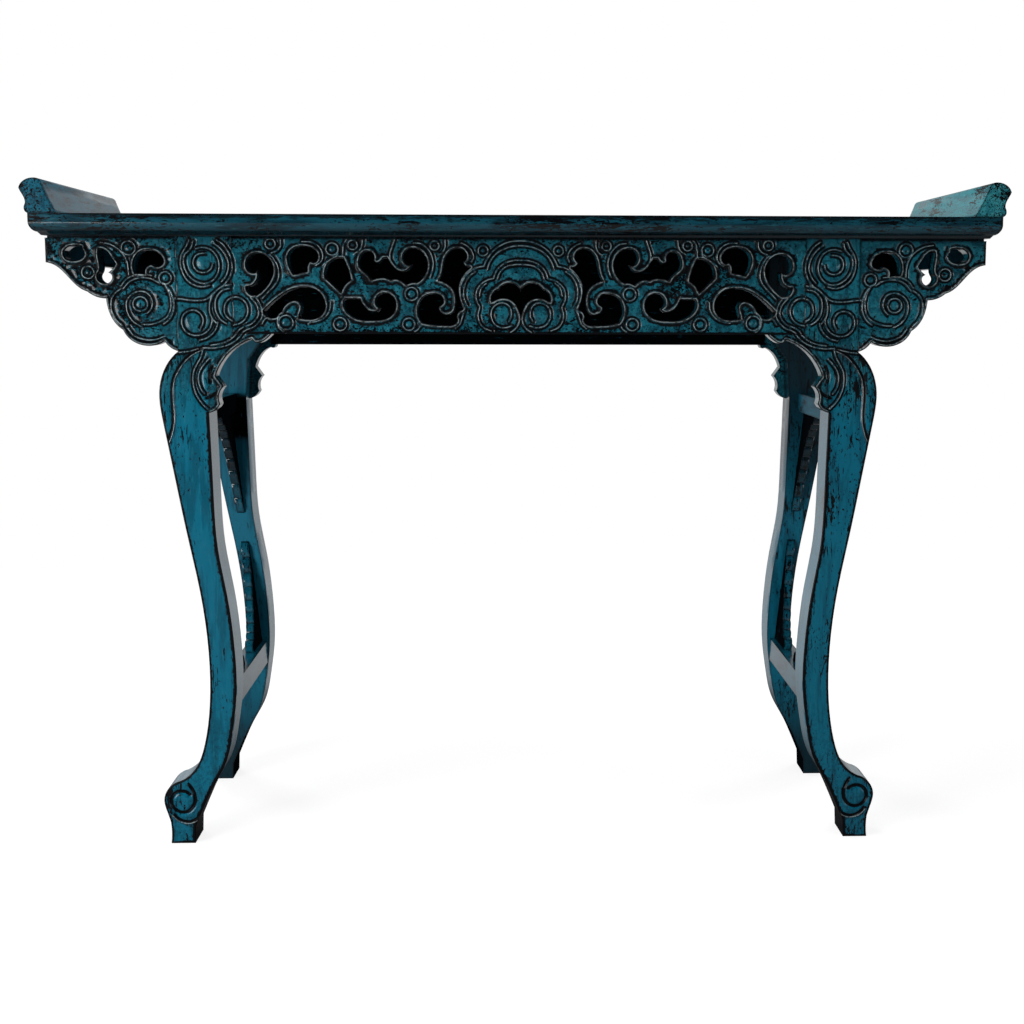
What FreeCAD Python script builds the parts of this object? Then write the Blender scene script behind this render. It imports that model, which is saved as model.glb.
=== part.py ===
import FreeCAD, Part
import os
from FreeCAD import Vector

# Carved console table with raised ends, in millimetres.
# +Z is up, the front looks towards -Y, and the origin is on the floor under the middle.

doc = FreeCAD.newDocument("console_table")
sheet = doc.addObject("Spreadsheet::Sheet", "dim")

SIZES = [
    # The framed top
    ("top_length", 1280, "end to end of the frame of the top"),
    ("top_depth", 400, "front to back of the top"),
    ("table_height", 855, "floor to the surface of the top"),
    ("top_thickness", 28, "thickness of the rails of the top"),
    ("rail_width", 75, "width of the rails of the top"),
    ("edge_band", 9, "upright band of the moulded edge"),
    ("edge_undercut", 13, "how far the moulded edge runs in below the band"),
    ("panel_thickness", 14, "thickness of the panel boards"),
    ("panel_tongue", 6, "thickness of the tongues of the panel boards"),
    ("panel_tongue_length", 8, "length of the tongues of the panel boards"),
    ("batten_width", 40, "width of the battens under the panel"),
    ("batten_offset", 68, "middle of a leg block to the outer batten, inwards"),
    ("batten_tenon_length", 10, "length of the tenons of the battens"),
    ("batten_shoulder", 3, "shoulder all round those tenons"),
    ("corner_tenon", 9, "thickness of the corner tenons of the long rails"),
    ("corner_tenon_width", 30, "width of the corner tenons"),
    ("corner_tenon_lift", 4, "underside of the rails to the corner tenons"),
    ("corner_tenon_margin", 8, "inner side of the rails to the corner tenons"),
    ("corner_tenon_cover", 12, "wood left outside the corner tenons"),
    ("fit_clearance", 0.2, "gap on each side of a tenon or a tongue"),
    # The raised ends
    ("raised_height", 45, "rise of the ends above the top"),
    ("raised_foot", 38, "how far the foot of a raised end runs in"),
    ("raised_lip", 10, "how far the lip reaches past the rail"),
    ("raised_tongue", 10, "width of the tongue under a raised end"),
    ("raised_tongue_depth", 7, "depth of that tongue"),
    ("raised_tongue_margin", 30, "front edge of the top to the end of that tongue"),
    # Aprons and wings
    ("front_setback", 18, "front edge of the top to the carved faces"),
    ("reveal", 3, "shadow line between the top and the aprons"),
    ("apron_height", 125, "height of the front apron"),
    ("rear_apron_height", 147, "height of the rear apron"),
    ("apron_thickness", 26, "thickness of aprons, wings and brackets"),
    ("ridge_thickness", 14, "thickness of the ridge that closes the shadow line"),
    ("apron_tongue", 10, "length and thickness of the tongues in the legs"),
    ("apron_tongue_margin", 12, "top of an apron to the top of its tongue"),
    ("apron_tongue_height", 95, "height of those tongues"),
    ("openwork_ends", 18.5, "end of the front apron to its openings"),
    ("openwork_above", 10, "top of the front apron to its openings"),
    ("openwork_below", 11.5, "lower edge of the front apron to its openings"),
    ("wing_inset", 16, "end of the top to the end of a wing"),
    ("wing_drop", 148, "depth of a wing at its leg"),
    ("wing_end_height", 32, "height of a wing at its end"),
    ("end_board_thickness", 16, "thickness of the boards that close the ends"),
    # Legs
    ("leg_overhang", 222, "end of the top to the middle of a leg block"),
    ("leg_block", 73, "width of the leg at the aprons"),
    ("leg_depth", 58, "front to back of a leg"),
    ("knee_drop", 247, "underside of the top to the knee"),
    ("leg_tenon_width", 40, "width of the tenon on top of a leg"),
    ("leg_tenon", 20, "thickness of that tenon"),
    ("leg_tenon_length", 12, "length of that tenon"),
    # End frames
    ("side_rail_drop", 223, "underside of the top to the upper side rails"),
    ("side_rail_height", 28, "height of the upper side rails"),
    ("side_rail_thickness", 30, "thickness of the upper side rails"),
    ("side_rail_offset", 27, "middle of a leg block to the upper side rail, outwards"),
    ("stretcher_level", 186, "floor to the underside of the stretchers"),
    ("stretcher_height", 34, "height of the stretchers"),
    ("stretcher_thickness", 28, "thickness of the stretchers"),
    ("stretcher_inset", 12, "middle of a leg block to the stretcher, inwards"),
    ("frame_tenon", 12, "thickness of the tenons of rails and stretchers"),
    ("frame_tenon_length", 24, "length of those tenons"),
    ("frame_shoulder", 6, "shoulder above and below those tenons"),
    ("peg_diameter", 7, "diameter of the pegs"),
    ("peg_embed", 4, "how far a peg reaches past its tenon"),
    ("spandrel_thickness", 12, "thickness of the spandrels"),
    ("spandrel_width", 85, "reach of a spandrel along its rail"),
    ("spandrel_nose", 9, "height of a spandrel at the end of its reach"),
    ("spandrel_gap", 44, "free length of a leg between its two spandrels"),
    ("lobe_count", 9, "lobes along the free edge of a spandrel"),
    ("lobe_rise", 3.5, "how far a lobe swells out of the line of the edge"),
]

for row, (alias, value, meaning) in enumerate(SIZES, start=1):
    sheet.set(f"A{row}", meaning)
    sheet.set(f"B{row}", str(value))
    sheet.setAlias(f"B{row}", alias)
doc.recompute()


def size(alias):
    """The value of one cell of the sheet."""
    return float(sheet.get(alias))


# Levels and places that several pieces share, as text for expressions
RAIL_BOTTOM = "(dim.table_height - dim.top_thickness)"
APRON_TOP = "(dim.table_height - dim.top_thickness - dim.reveal)"
TOP_END = "(dim.top_length / 2)"
LEG_SPREAD = f"({TOP_END} - dim.leg_overhang)"
WING_REACH = f"({TOP_END} - dim.wing_inset)"
FRONT = "(-dim.top_depth / 2)"
CARVED = f"({FRONT} + dim.front_setback)"
LEG_BACK = f"({CARVED} + dim.leg_depth)"
APRON_BACK = f"({CARVED} + dim.apron_thickness)"
LEG_INNER = f"({LEG_SPREAD} - dim.leg_block / 2)"
LEG_OUTER = f"({LEG_SPREAD} + dim.leg_block / 2)"
SIDE_RAIL_LEVEL = f"({RAIL_BOTTOM} - dim.side_rail_drop - dim.side_rail_height)"
PANEL_X = f"({TOP_END} - dim.rail_width)"
PANEL_Y = "(dim.top_depth / 2 - dim.rail_width)"
TONGUE_Z = "(dim.table_height - dim.panel_thickness / 2 - dim.panel_tongue / 2)"
SLACK = "dim.fit_clearance"

# The same as numbers, for the drawn outlines
top_end = size("top_length") / 2
front = -size("top_depth") / 2
rail_width = size("rail_width")
rail_bottom = size("table_height") - size("top_thickness")
apron_top = rail_bottom - size("reveal")
apron_bottom = apron_top - size("apron_height")
rear_apron_bottom = apron_top - size("rear_apron_height")
leg_spread = top_end - size("leg_overhang")
leg_inner = leg_spread - size("leg_block") / 2
leg_outer = leg_spread + size("leg_block") / 2
wing_reach = top_end - size("wing_inset")
wing_level = apron_top - size("wing_drop")
knee = rail_bottom - size("knee_drop")
side_rail_level = rail_bottom - size("side_rail_drop") - size("side_rail_height")

nodes = []


def node(piece, label):
    """Names a finished piece after its file."""
    piece.Label = label
    nodes.append(piece)
    return piece


def bind(piece, **expressions):
    """Binds properties to the sheet. x, y and z stand for the place of the piece."""
    for name, text in expressions.items():
        path = f".Placement.Base.{name}" if name in ("x", "y", "z") else name
        piece.setExpression(path, text)
    return piece


def box(name, x, y, z, length, width, height):
    """A block with its lower left front corner at x, y, z."""
    block = doc.addObject("Part::Box", name)
    return bind(block, x=x, y=y, z=z, Length=length, Width=width, Height=height)


def fuse(name, pieces):
    joined = doc.addObject("Part::MultiFuse", name)
    joined.Shapes = pieces
    joined.Refine = True
    return joined


def common(name, pieces):
    shared = doc.addObject("Part::MultiCommon", name)
    shared.Shapes = pieces
    shared.Refine = True
    return shared


def cut(name, piece, tools):
    result = doc.addObject("Part::Cut", name)
    result.Base = piece
    result.Tool = tools[0] if len(tools) == 1 else fuse(name + "_tools", tools)
    result.Refine = True
    return result


def mirror(name, piece, across_x=False):
    """The same piece on the other side: left to right if across_x, else front to back."""
    twin = doc.addObject("Part::Mirroring", name)
    twin.Source = piece
    twin.Normal = Vector(1, 0, 0) if across_x else Vector(0, 1, 0)
    return twin


def four_nodes(piece, label):
    """The front left piece and its twins at the other three corners. label holds the corner's name."""
    node(piece, label.format("front_left"))
    rear = node(mirror(piece.Name + "_rear", piece), label.format("rear_left"))
    node(mirror(piece.Name + "_right", piece, across_x=True), label.format("front_right"))
    node(mirror(rear.Name + "_right", rear, across_x=True), label.format("rear_right"))


def left_right_nodes(piece, left_label, right_label):
    node(piece, left_label)
    node(mirror(piece.Name + "_right", piece, across_x=True), right_label)


def wire(strokes, place):
    """A closed wire. A stroke is a line or a smooth curve through its points, and strokes meet at corners."""
    edges = []
    for stroke in strokes:
        points = [place(a, b) for a, b in stroke]
        if len(points) == 2:
            edges.append(Part.LineSegment(*points).toShape())
        else:
            curve = Part.BSplineCurve()
            curve.interpolate(points)
            edges.append(curve.toShape())
    return Part.Wire(edges)


def polygon(points):
    """The strokes of a closed outline of straight lines."""
    return [[start, end] for start, end in zip(points, points[1:] + points[:1])]


def extruded(name, wires, direction, length):
    """A solid of the outline in the first wire, pierced by the others, as long as the bound length."""
    outline = doc.addObject("Part::Feature", name + "_outline")
    outline.Shape = Part.makeFace(wires, "Part::FaceMakerBullseye")
    solid = doc.addObject("Part::Extrusion", name)
    solid.Base = outline
    solid.DirMode = "Custom"
    solid.Dir = direction
    solid.Solid = True
    return bind(solid, LengthFwd=length)


def front_view(a, b):
    return Vector(a, 0, b)


def carved_board(name, wires):
    """A board drawn in the front view, with its face in the carved plane."""
    board = extruded(name, wires, Vector(0, 1, 0), "dim.apron_thickness")
    bind(board.Base, y=CARVED)
    return board


# The framed top


def rail_bar(name, place, direction, length):
    """An uncut rail: an upright band, a curve that runs in below it and a small bevel."""
    top = size("table_height")
    band = top - size("edge_band")
    drawn = [(0, 0), (1.3, 8), (5, 13), (9.5, 15), (13, 19)]
    across = size("edge_undercut") / drawn[-1][0]
    down = (band - rail_bottom) / drawn[-1][1]
    *curve, foot = [(across * a, band - down * b) for a, b in drawn]
    strokes = [
        [(0, top), (0, band)],
        curve,
        [curve[-1], foot],
        [foot, (rail_width, rail_bottom)],
        [(rail_width, rail_bottom), (rail_width, top)],
        [(rail_width, top), (0, top)],
    ]
    return extruded(name, [wire(strokes, place)], direction, length)


def mitred_plan(name, outer, inner):
    """The plan of a mitred rail from its outer and inner corners, as thick as the top."""
    outline = wire(polygon(outer + inner), lambda a, b: Vector(a, b, 0))
    prism = extruded(name, [outline], Vector(0, 0, 1), "dim.top_thickness")
    bind(prism.Base, z=RAIL_BOTTOM)
    return prism


def left_corner_tenon(name, gap):
    """The left corner tenon of the front rail, or with a gap its mortise."""
    return box(
        name,
        f"-{TOP_END} + dim.corner_tenon_cover - {gap}",
        f"{FRONT} + dim.rail_width - dim.corner_tenon_margin - dim.corner_tenon_width - {gap}",
        f"{RAIL_BOTTOM} + dim.corner_tenon_lift - {gap}",
        f"dim.rail_width - dim.corner_tenon_cover + {gap}",
        f"dim.corner_tenon_width + 2 * {gap}",
        f"dim.corner_tenon + 2 * {gap}",
    )


def panel_seat(name):
    """The space that the tongues of the panel take up, with its clearance."""
    reach = f"dim.panel_tongue_length + {SLACK}"
    return box(
        name,
        f"-{PANEL_X} - {reach}",
        f"-{PANEL_Y} - {reach}",
        f"{TONGUE_Z} - {SLACK}",
        f"2 * ({PANEL_X} + {reach})",
        f"2 * ({PANEL_Y} + {reach})",
        f"dim.panel_tongue + 2 * {SLACK}",
    )


def batten_core(name, place, gap):
    """A batten without its shoulders, with a tenon at each end, or with a gap the space for it."""
    half = f"(dim.batten_width / 2 - dim.batten_shoulder + {gap})"
    reach = f"({PANEL_Y} + dim.batten_tenon_length + {gap})"
    return box(
        name,
        f"{place} * ({LEG_SPREAD} - dim.batten_offset) - {half}",
        f"-{reach}",
        f"{RAIL_BOTTOM} + dim.batten_shoulder - {gap}",
        f"2 * {half}",
        f"2 * {reach}",
        f"dim.top_thickness - dim.panel_thickness - 2 * dim.batten_shoulder + 2 * {gap}",
    )


def left_leg_tenon(name, gap):
    """The tenon on top of the front left leg, or with a gap its mortise. It starts inside the leg."""
    return box(
        name,
        f"-{LEG_SPREAD} - dim.leg_tenon_width / 2 - {gap}",
        f"{CARVED} + dim.leg_depth / 2 - dim.leg_tenon / 2 - {gap}",
        f"{RAIL_BOTTOM} - dim.leg_tenon_length",
        f"dim.leg_tenon_width + 2 * {gap}",
        f"dim.leg_tenon + 2 * {gap}",
        f"2 * dim.leg_tenon_length + {gap}",
    )


def make_long_rails():
    bar = rail_bar("front_bar", lambda a, b: Vector(0, front + a, b), Vector(1, 0, 0), "dim.top_length")
    bind(bar.Base, x=f"-{TOP_END}")
    plan = mitred_plan(
        "front_plan",
        [(-top_end, front), (top_end, front)],
        [(top_end - rail_width, front + rail_width), (-top_end + rail_width, front + rail_width)],
    )
    tenon = left_corner_tenon("front_left_tenon", "0")
    tenons = [tenon, mirror("front_right_tenon", tenon, across_x=True)]
    rail = fuse("front_rail_with_tenons", [common("front_rail_mitred", [bar, plan])] + tenons)
    mortise = left_leg_tenon("front_left_mortise", SLACK)
    seats = [panel_seat("front_groove"), mortise, mirror("front_right_mortise", mortise, across_x=True)]
    seats += [batten_core(f"front_batten_seat_{place + 1}", place, SLACK) for place in (-1, 0, 1)]
    rail = node(cut("front_rail", rail, seats), "top_front_rail")
    node(mirror("rear_rail", rail), "top_rear_rail")


def left_raised_tongue(name, gap):
    """The tongue under the left raised end, or with a gap its groove. It starts inside the raised end."""
    return box(
        name,
        f"-{TOP_END} + dim.raised_foot / 2 - dim.raised_tongue / 2 - {gap}",
        f"{FRONT} + dim.raised_tongue_margin - {gap}",
        f"dim.table_height - dim.raised_tongue_depth - {gap}",
        f"dim.raised_tongue + 2 * {gap}",
        f"dim.top_depth - 2 * dim.raised_tongue_margin + 2 * {gap}",
        f"2 * dim.raised_tongue_depth + {gap}",
    )


def make_end_rails():
    bar = rail_bar("left_bar", lambda a, b: Vector(-top_end + a, 0, b), Vector(0, 1, 0), "dim.top_depth")
    bind(bar.Base, y=FRONT)
    plan = mitred_plan(
        "left_plan",
        [(-top_end, -front), (-top_end, front)],
        [(-top_end + rail_width, front + rail_width), (-top_end + rail_width, -front - rail_width)],
    )
    mortise = left_corner_tenon("left_front_mortise", SLACK)
    seats = [
        mortise,
        mirror("left_rear_mortise", mortise),
        panel_seat("left_groove"),
        left_raised_tongue("left_raised_seat", SLACK),
    ]
    rail = cut("left_rail", common("left_rail_mitred", [bar, plan]), seats)
    left_right_nodes(rail, "top_left_end_rail", "top_right_end_rail")


def make_panel():
    """Two boards with tongues all round, and a tongue of the rear board in the edge of the front one."""
    board = box(
        "front_board_body",
        f"-{PANEL_X} + {SLACK}",
        f"-{PANEL_Y} + {SLACK}",
        "dim.table_height - dim.panel_thickness",
        f"2 * {PANEL_X} - 2 * {SLACK}",
        f"{PANEL_Y} - {SLACK}",
        "dim.panel_thickness",
    )
    tongue = box(
        "front_board_tongue",
        f"-{PANEL_X} - dim.panel_tongue_length",
        f"-{PANEL_Y} - dim.panel_tongue_length",
        TONGUE_Z,
        f"2 * ({PANEL_X} + dim.panel_tongue_length)",
        f"{PANEL_Y} + dim.panel_tongue_length",
        "dim.panel_tongue",
    )

    def middle_tongue(name, gap):
        return box(
            name,
            f"-{PANEL_X} - dim.panel_tongue_length - {gap}",
            f"-dim.panel_tongue_length - {gap}",
            f"{TONGUE_Z} - {gap}",
            f"2 * ({PANEL_X} + dim.panel_tongue_length + {gap})",
            f"2 * dim.panel_tongue_length + {gap}",
            f"dim.panel_tongue + 2 * {gap}",
        )

    whole = fuse("front_board_with_tongue", [board, tongue])
    node(cut("front_board", whole, [middle_tongue("front_board_groove", SLACK)]), "top_front_board")
    twin = mirror("rear_board_body", whole)
    node(fuse("rear_board", [twin, middle_tongue("rear_board_tongue", "0")]), "top_rear_board")


def make_battens():
    for place, label in ((-1, "top_left_batten"), (0, "top_middle_batten"), (1, "top_right_batten")):
        body = box(
            label + "_body",
            f"{place} * ({LEG_SPREAD} - dim.batten_offset) - dim.batten_width / 2",
            f"-{PANEL_Y}",
            RAIL_BOTTOM,
            "dim.batten_width",
            f"2 * {PANEL_Y}",
            "dim.top_thickness - dim.panel_thickness",
        )
        node(fuse(label + "_whole", [body, batten_core(label + "_core", place, "0")]), label)


def make_raised_ends():
    """The section runs from the foot on the top, up a hollow to the rolled lip and down a shallow neck."""
    section = [
        [(-38, 0), (-28, 18), (-21.5, 33), (-18.5, 41)],
        [(-18.5, 41), (-14, 44.4), (-9, 45), (-3, 44.2), (5, 40), (10, 32)],
        [(10, 32), (7, 26), (3, 18), (2.5, 12)],
        [(2.5, 12), (4, 8), (3.5, 3), (0, 0)],
        [(0, 0), (-38, 0)],
    ]
    corners = [point for stroke in section for point in stroke]
    inward = -size("raised_foot") / min(a for a, b in corners)
    outward = size("raised_lip") / max(a for a, b in corners)
    upward = size("raised_height") / max(b for a, b in corners)

    def place(a, b):
        reach = a * (inward if a < 0 else outward)
        return Vector(-top_end - reach, 0, size("table_height") + b * upward)

    body = extruded("left_raised_body", [wire(section, place)], Vector(0, 1, 0), "dim.top_depth")
    bind(body.Base, y=FRONT)
    whole = fuse("left_raised", [body, left_raised_tongue("left_raised_tongue", "0")])
    left_right_nodes(whole, "left_raised_end", "right_raised_end")


# Aprons and wings

# Openings of the right half of the front apron: distance from the middle, height above the lower edge
BAT = [
    [(0, 56), (3, 62), (9, 66), (17, 67), (25, 64), (29, 59)],
    [(29, 59), (36, 55), (39, 49), (39, 43)],
    [(39, 43), (32, 46), (24, 47.5), (17, 47), (10, 43), (5, 36), (1.5, 28), (0, 22)],
]
CLOUD_SIDE = [
    [(109, 71), (104, 83), (100, 101), (93, 110), (85, 113), (77, 111), (72, 104), (77, 95)],
    [(77, 95), (74, 90), (67, 88)],
    [(67, 88), (76, 79), (82, 68), (83, 54), (80, 41), (77, 33)],
    [(77, 33), (84, 28), (86, 22)],
    [(86, 22), (85, 17), (90, 12.5), (100, 11.5), (118, 12.5), (131, 15)],
    [(131, 15), (136, 24), (136, 38), (129, 49), (117, 53), (107, 51), (103, 45), (109, 37)],
    [(109, 37), (108, 30), (98, 25), (91, 28), (87, 36), (86, 46), (89, 58), (97, 66), (109, 71)],
]
UPPER_SCROLLS = [
    [(198, 71), (205, 80), (213, 88), (213, 100), (206, 108.5), (198, 107.5), (195, 97)],
    [(195, 97), (190, 93.5), (185, 96), (182, 100)],
    [(182, 100), (177, 100)],
    [(177, 100), (171, 91), (164, 84), (156, 82), (148, 85.5), (144, 92)],
    [(144, 92), (153, 93), (156, 100), (152, 110), (142, 113), (132, 109), (124, 95), (127, 79), (138, 68)],
    [(138, 68), (145, 68), (152, 65)],
    [(152, 65), (158, 70), (165, 72.5), (172, 71)],
    [(172, 71), (179, 74), (188, 74), (198, 71)],
]
LOWER_SCROLL = [
    [(213, 46), (233, 46)],
    [(233, 46), (235, 38), (228, 26), (216, 19.5), (196, 18), (178, 21), (168, 30), (167, 44), (173, 52),
     (182, 54), (190, 50), (193, 42), (187, 34)],
    [(187, 34), (190, 30), (197, 29), (206, 34), (213, 46)],
]
LOZENGE = [
    [(243, 100), (235, 100)],
    [(235, 100), (229, 87), (225, 71)],
    [(225, 71), (232, 66), (238, 55)],
    [(238, 55), (247, 63), (259, 75)],
    [(259, 75), (257, 88), (243, 100)],
]
ARCH_WITH_LEAF = [
    [(341, 30), (332, 39), (317, 51), (302, 59), (286, 61), (270, 57), (261, 46), (260, 33), (266, 24),
     (279, 19.5), (294, 21)],
    [(294, 21), (292, 29), (291, 38), (298, 44), (307, 42), (314, 36), (317, 29)],
    [(317, 29), (321, 27), (324, 22)],
    [(324, 22), (334, 22), (341, 30)],
]
UPPER_HOOK = [
    [(278, 96), (271, 95), (268, 101), (272, 110), (287, 115), (300, 112), (307, 103), (307, 93), (300, 78)],
    [(300, 78), (292, 80), (282, 82)],
    [(282, 82), (282, 89), (278, 96)],
]
HOOK_BY_LEG = [
    [(348, 84), (354, 80), (361, 85), (362, 95), (355, 104), (344, 105.5), (332, 98), (327, 85), (331, 70),
     (349, 51)],
    [(349, 51), (358, 52), (363, 62)],
    [(363, 62), (353, 65), (347.5, 74), (348, 84)],
]
APRON_OPENINGS = [CLOUD_SIDE, UPPER_SCROLLS, LOWER_SCROLL, LOZENGE, ARCH_WITH_LEAF, UPPER_HOOK, HOOK_BY_LEG]

# Lower edge and openings of a wing: distance from the leg, depth below the top of the wing
WING_EDGE = [
    [(169.5, 32), (151.5, 40), (134.5, 58), (116.5, 70)],
    [(116.5, 70), (105.5, 76.5), (92.5, 79)],
    [(92.5, 79), (89.5, 95), (81.5, 111), (71.5, 120)],
    [(71.5, 120), (57.5, 136), (35.5, 141), (17.5, 135)],
    [(17.5, 135), (11.5, 142), (0, 148)],
]
WING_OPENINGS = [
    [
        [(121.5, 15.5), (118.5, 21), (122.5, 27), (131.5, 29.5), (142.5, 27), (145.5, 19), (139.5, 12),
         (129.5, 10), (121.5, 11)],
        [(121.5, 11), (121.5, 15.5)],
    ],
    [
        [(88.5, 45), (83.5, 51), (87.5, 58), (94.5, 59), (101.5, 54), (100.5, 45)],
        [(100.5, 45), (98.5, 36), (100.5, 22), (99.5, 14)],
        [(99.5, 14), (91.5, 16), (84.5, 24), (78.5, 34)],
        [(78.5, 34), (82.5, 40), (88.5, 45)],
    ],
    [
        [(40.5, 47), (40.5, 41), (30.5, 34)],
        [(30.5, 34), (23.5, 37), (16.5, 33), (19.5, 22), (31.5, 16), (43.5, 17), (52.5, 25), (55.5, 37),
         (53.5, 46)],
        [(53.5, 46), (40.5, 47)],
    ],
]


def apron_point(side):
    """Maps a drawn point to one half of the front apron, so that the openings fill it up to their margins."""
    points = [point for opening in APRON_OPENINGS for stroke in opening for point in stroke]
    low = min(b for a, b in points)
    high = max(b for a, b in points)
    along = side * (leg_inner - size("openwork_ends")) / max(a for a, b in points)
    upward = (size("apron_height") - size("openwork_above") - size("openwork_below")) / (high - low)
    start = apron_bottom + size("openwork_below")
    return lambda a, b: Vector(a * along, 0, start + (b - low) * upward)


def both_halves(strokes):
    """An opening on the middle line: its drawn half and the mirrored half, in one round."""
    mirrored = [[(-a, b) for a, b in reversed(stroke)] for stroke in reversed(strokes)]
    return strokes + mirrored


def end_tongues(name):
    """The tongues at both ends of an apron."""
    left = left_tongue(name + "_left", LEG_INNER, "0")
    return [left, mirror(name + "_right", left, across_x=True)]


def left_tongue(name, joint, gap):
    """A tongue across one joint of the front left leg, half in each piece, or with a gap the space for it."""
    return box(
        name,
        f"-{joint} - dim.apron_tongue - {gap}",
        f"{APRON_BACK} - dim.apron_thickness / 2 - dim.apron_tongue / 2 - {gap}",
        f"{APRON_TOP} - dim.apron_tongue_margin - dim.apron_tongue_height - {gap}",
        f"2 * (dim.apron_tongue + {gap})",
        f"dim.apron_tongue + 2 * {gap}",
        f"dim.apron_tongue_height + 2 * {gap}",
    )


def ridge(name, start, end):
    """The ridge on a front board that reaches up to the top behind the shadow line."""
    return box(
        name,
        start,
        f"{APRON_BACK} - dim.ridge_thickness",
        APRON_TOP,
        f"{end} - ({start})",
        "dim.ridge_thickness",
        "dim.reveal",
    )


def make_front_apron():
    outline = polygon([(-leg_inner, apron_bottom), (leg_inner, apron_bottom), (leg_inner, apron_top),
                       (-leg_inner, apron_top)])
    wires = [wire(outline, front_view), wire(both_halves(BAT), apron_point(1))]
    for opening in APRON_OPENINGS:
        wires += [wire(opening, apron_point(1)), wire(opening, apron_point(-1))]
    board = carved_board("front_apron_board", wires)
    top = ridge("front_apron_ridge", f"-{LEG_INNER}", LEG_INNER)
    node(fuse("front_apron_whole", [board, top] + end_tongues("front_apron_tongue")), "front_apron")


def make_rear_apron():
    """Drawn at the front and mirrored to the back."""
    board = box(
        "rear_apron_board",
        f"-{LEG_INNER}",
        CARVED,
        f"{APRON_TOP} - dim.rear_apron_height",
        f"2 * {LEG_INNER}",
        "dim.apron_thickness",
        "dim.rear_apron_height",
    )
    top = ridge("rear_apron_ridge", f"-{LEG_INNER}", LEG_INNER)
    whole = fuse("rear_apron_whole", [board, top] + end_tongues("rear_apron_tongue"))
    node(mirror("rear_apron_mirrored", whole), "rear_apron")


def wing_point(a, b):
    """Maps a drawn point to the left wing, as long, as deep and as high at its end as the wing is."""
    drawn_length, drawn_end = WING_EDGE[0][0]
    drawn_drop = WING_EDGE[-1][-1][1]
    along = leg_outer + a * (wing_reach - leg_outer) / drawn_length
    if b <= drawn_end:
        depth = b * size("wing_end_height") / drawn_end
    else:
        share = (b - drawn_end) / (drawn_drop - drawn_end)
        depth = size("wing_end_height") + share * (size("wing_drop") - size("wing_end_height"))
    return Vector(-along, 0, apron_top - depth)


def make_wings():
    tip = WING_EDGE[0][0]
    root = WING_EDGE[-1][-1]
    sides = [
        [root, (0, 0)],
        [(0, 0), (tip[0], 0)],
        [(tip[0], 0), tip],
    ]
    outline = wire(WING_EDGE + sides, wing_point)
    openings = [wire(opening, wing_point) for opening in WING_OPENINGS]

    def whole(name, wires):
        board = carved_board(name + "_board", wires)
        top = ridge(name + "_ridge", f"-{WING_REACH}", f"-{LEG_OUTER}")
        return fuse(name + "_whole", [board, top, left_tongue(name + "_tongue", LEG_OUTER, "0")])

    left_right_nodes(whole("front_wing", [outline] + openings), "front_left_wing", "front_right_wing")
    rear = mirror("rear_wing", whole("rear_wing_drawn", [outline]))
    left_right_nodes(rear, "rear_left_wing", "rear_right_wing")


def make_end_boards():
    board = box(
        "left_end_board_body",
        f"-{WING_REACH}",
        APRON_BACK,
        f"{APRON_TOP} - dim.wing_end_height",
        "dim.end_board_thickness",
        f"-2 * {APRON_BACK}",
        "dim.wing_end_height + dim.reveal",
    )
    left_right_nodes(board, "left_end_board", "right_end_board")


# Legs

# Outer edge, as distance out from the side of the block. From the wing to the knee it has heights above
# the knee, and from the knee to the floor heights above the floor.
LEG_OUTER_UPPER = [(0, 96), (16.5, 77), (26.5, 45)]
LEG_OUTER_LOWER = [(22.5, 580), (9.5, 508), (-5, 429), (-18.5, 360), (-29.5, 262), (-30, 219),
                   (-27, 176), (-20.5, 139), (-7.5, 106), (14.5, 88)]
LEG_SCROLL = [(14.5, 88), (28.5, 80), (36.5, 64), (33.5, 46), (28.5, 30)]
LEG_TOE = [(28.5, 30), (27.5, 14), (28.5, 0)]

# Inner edge, as distance out from the inner side of the block. It has heights above the floor, and in its
# upper part depths below the top.
LEG_HEEL = [(68.5, 0), (67.5, 24)]
LEG_INNER_LOWER = [(67.5, 24), (56.5, 50), (43.5, 78), (24.5, 113), (14.5, 155), (7.5, 210), (8.5, 272),
                   (16.5, 345), (27.5, 410), (31.5, 484), (33.5, 560)]
LEG_INNER_UPPER = [(34.5, 233), (30.5, 172)]

# Free edge of a bracket, from its lower end up to the apron, as distance out from the inner side of the block
BRACKET_SCALLOPS = [
    [(34.5, 0), (25.5, 4), (19.5, 12)],
    [(19.5, 12), (20.5, 25), (14.5, 35)],
    [(14.5, 35), (19.5, 42), (24.5, 49)],
]
FRONT_BRACKET_LEAF = [
    [(24.5, 49), (18.5, 63), (4.5, 81), (-10.5, 92), (-24.5, 98)],
    [(-24.5, 98), (-31.5, 93), (-40.5, 96), (-50.5, 105)],
]
REAR_BRACKET_LEAF = [
    [(24.5, 49), (19.5, 62), (8.5, 75), (0.5, 79)],
    [(0.5, 79), (-4.5, 78), (-7.5, 83)],
]


def leg_edges():
    """The outer edge from the wing down to the floor, and the inner edge from the floor up to the bracket."""
    below = knee / LEG_OUTER_LOWER[0][1]
    above = (wing_level - knee) / LEG_OUTER_UPPER[0][1]
    outer_upper = [(-leg_outer - a, knee + b * above) for a, b in LEG_OUTER_UPPER]

    def lower(side, stroke):
        return [(-side - a, b * below) for a, b in stroke]

    outer_lower = lower(leg_outer, LEG_OUTER_LOWER)
    scroll = lower(leg_outer, LEG_SCROLL)
    toe = lower(leg_outer, LEG_TOE)
    heel = lower(leg_inner, LEG_HEEL)
    inner_lower = lower(leg_inner, LEG_INNER_LOWER)
    joint = [(-leg_inner - a, rail_bottom - b) for a, b in LEG_INNER_UPPER]
    return [outer_upper + outer_lower, scroll, toe], [heel, inner_lower + joint[:1], joint]


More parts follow.
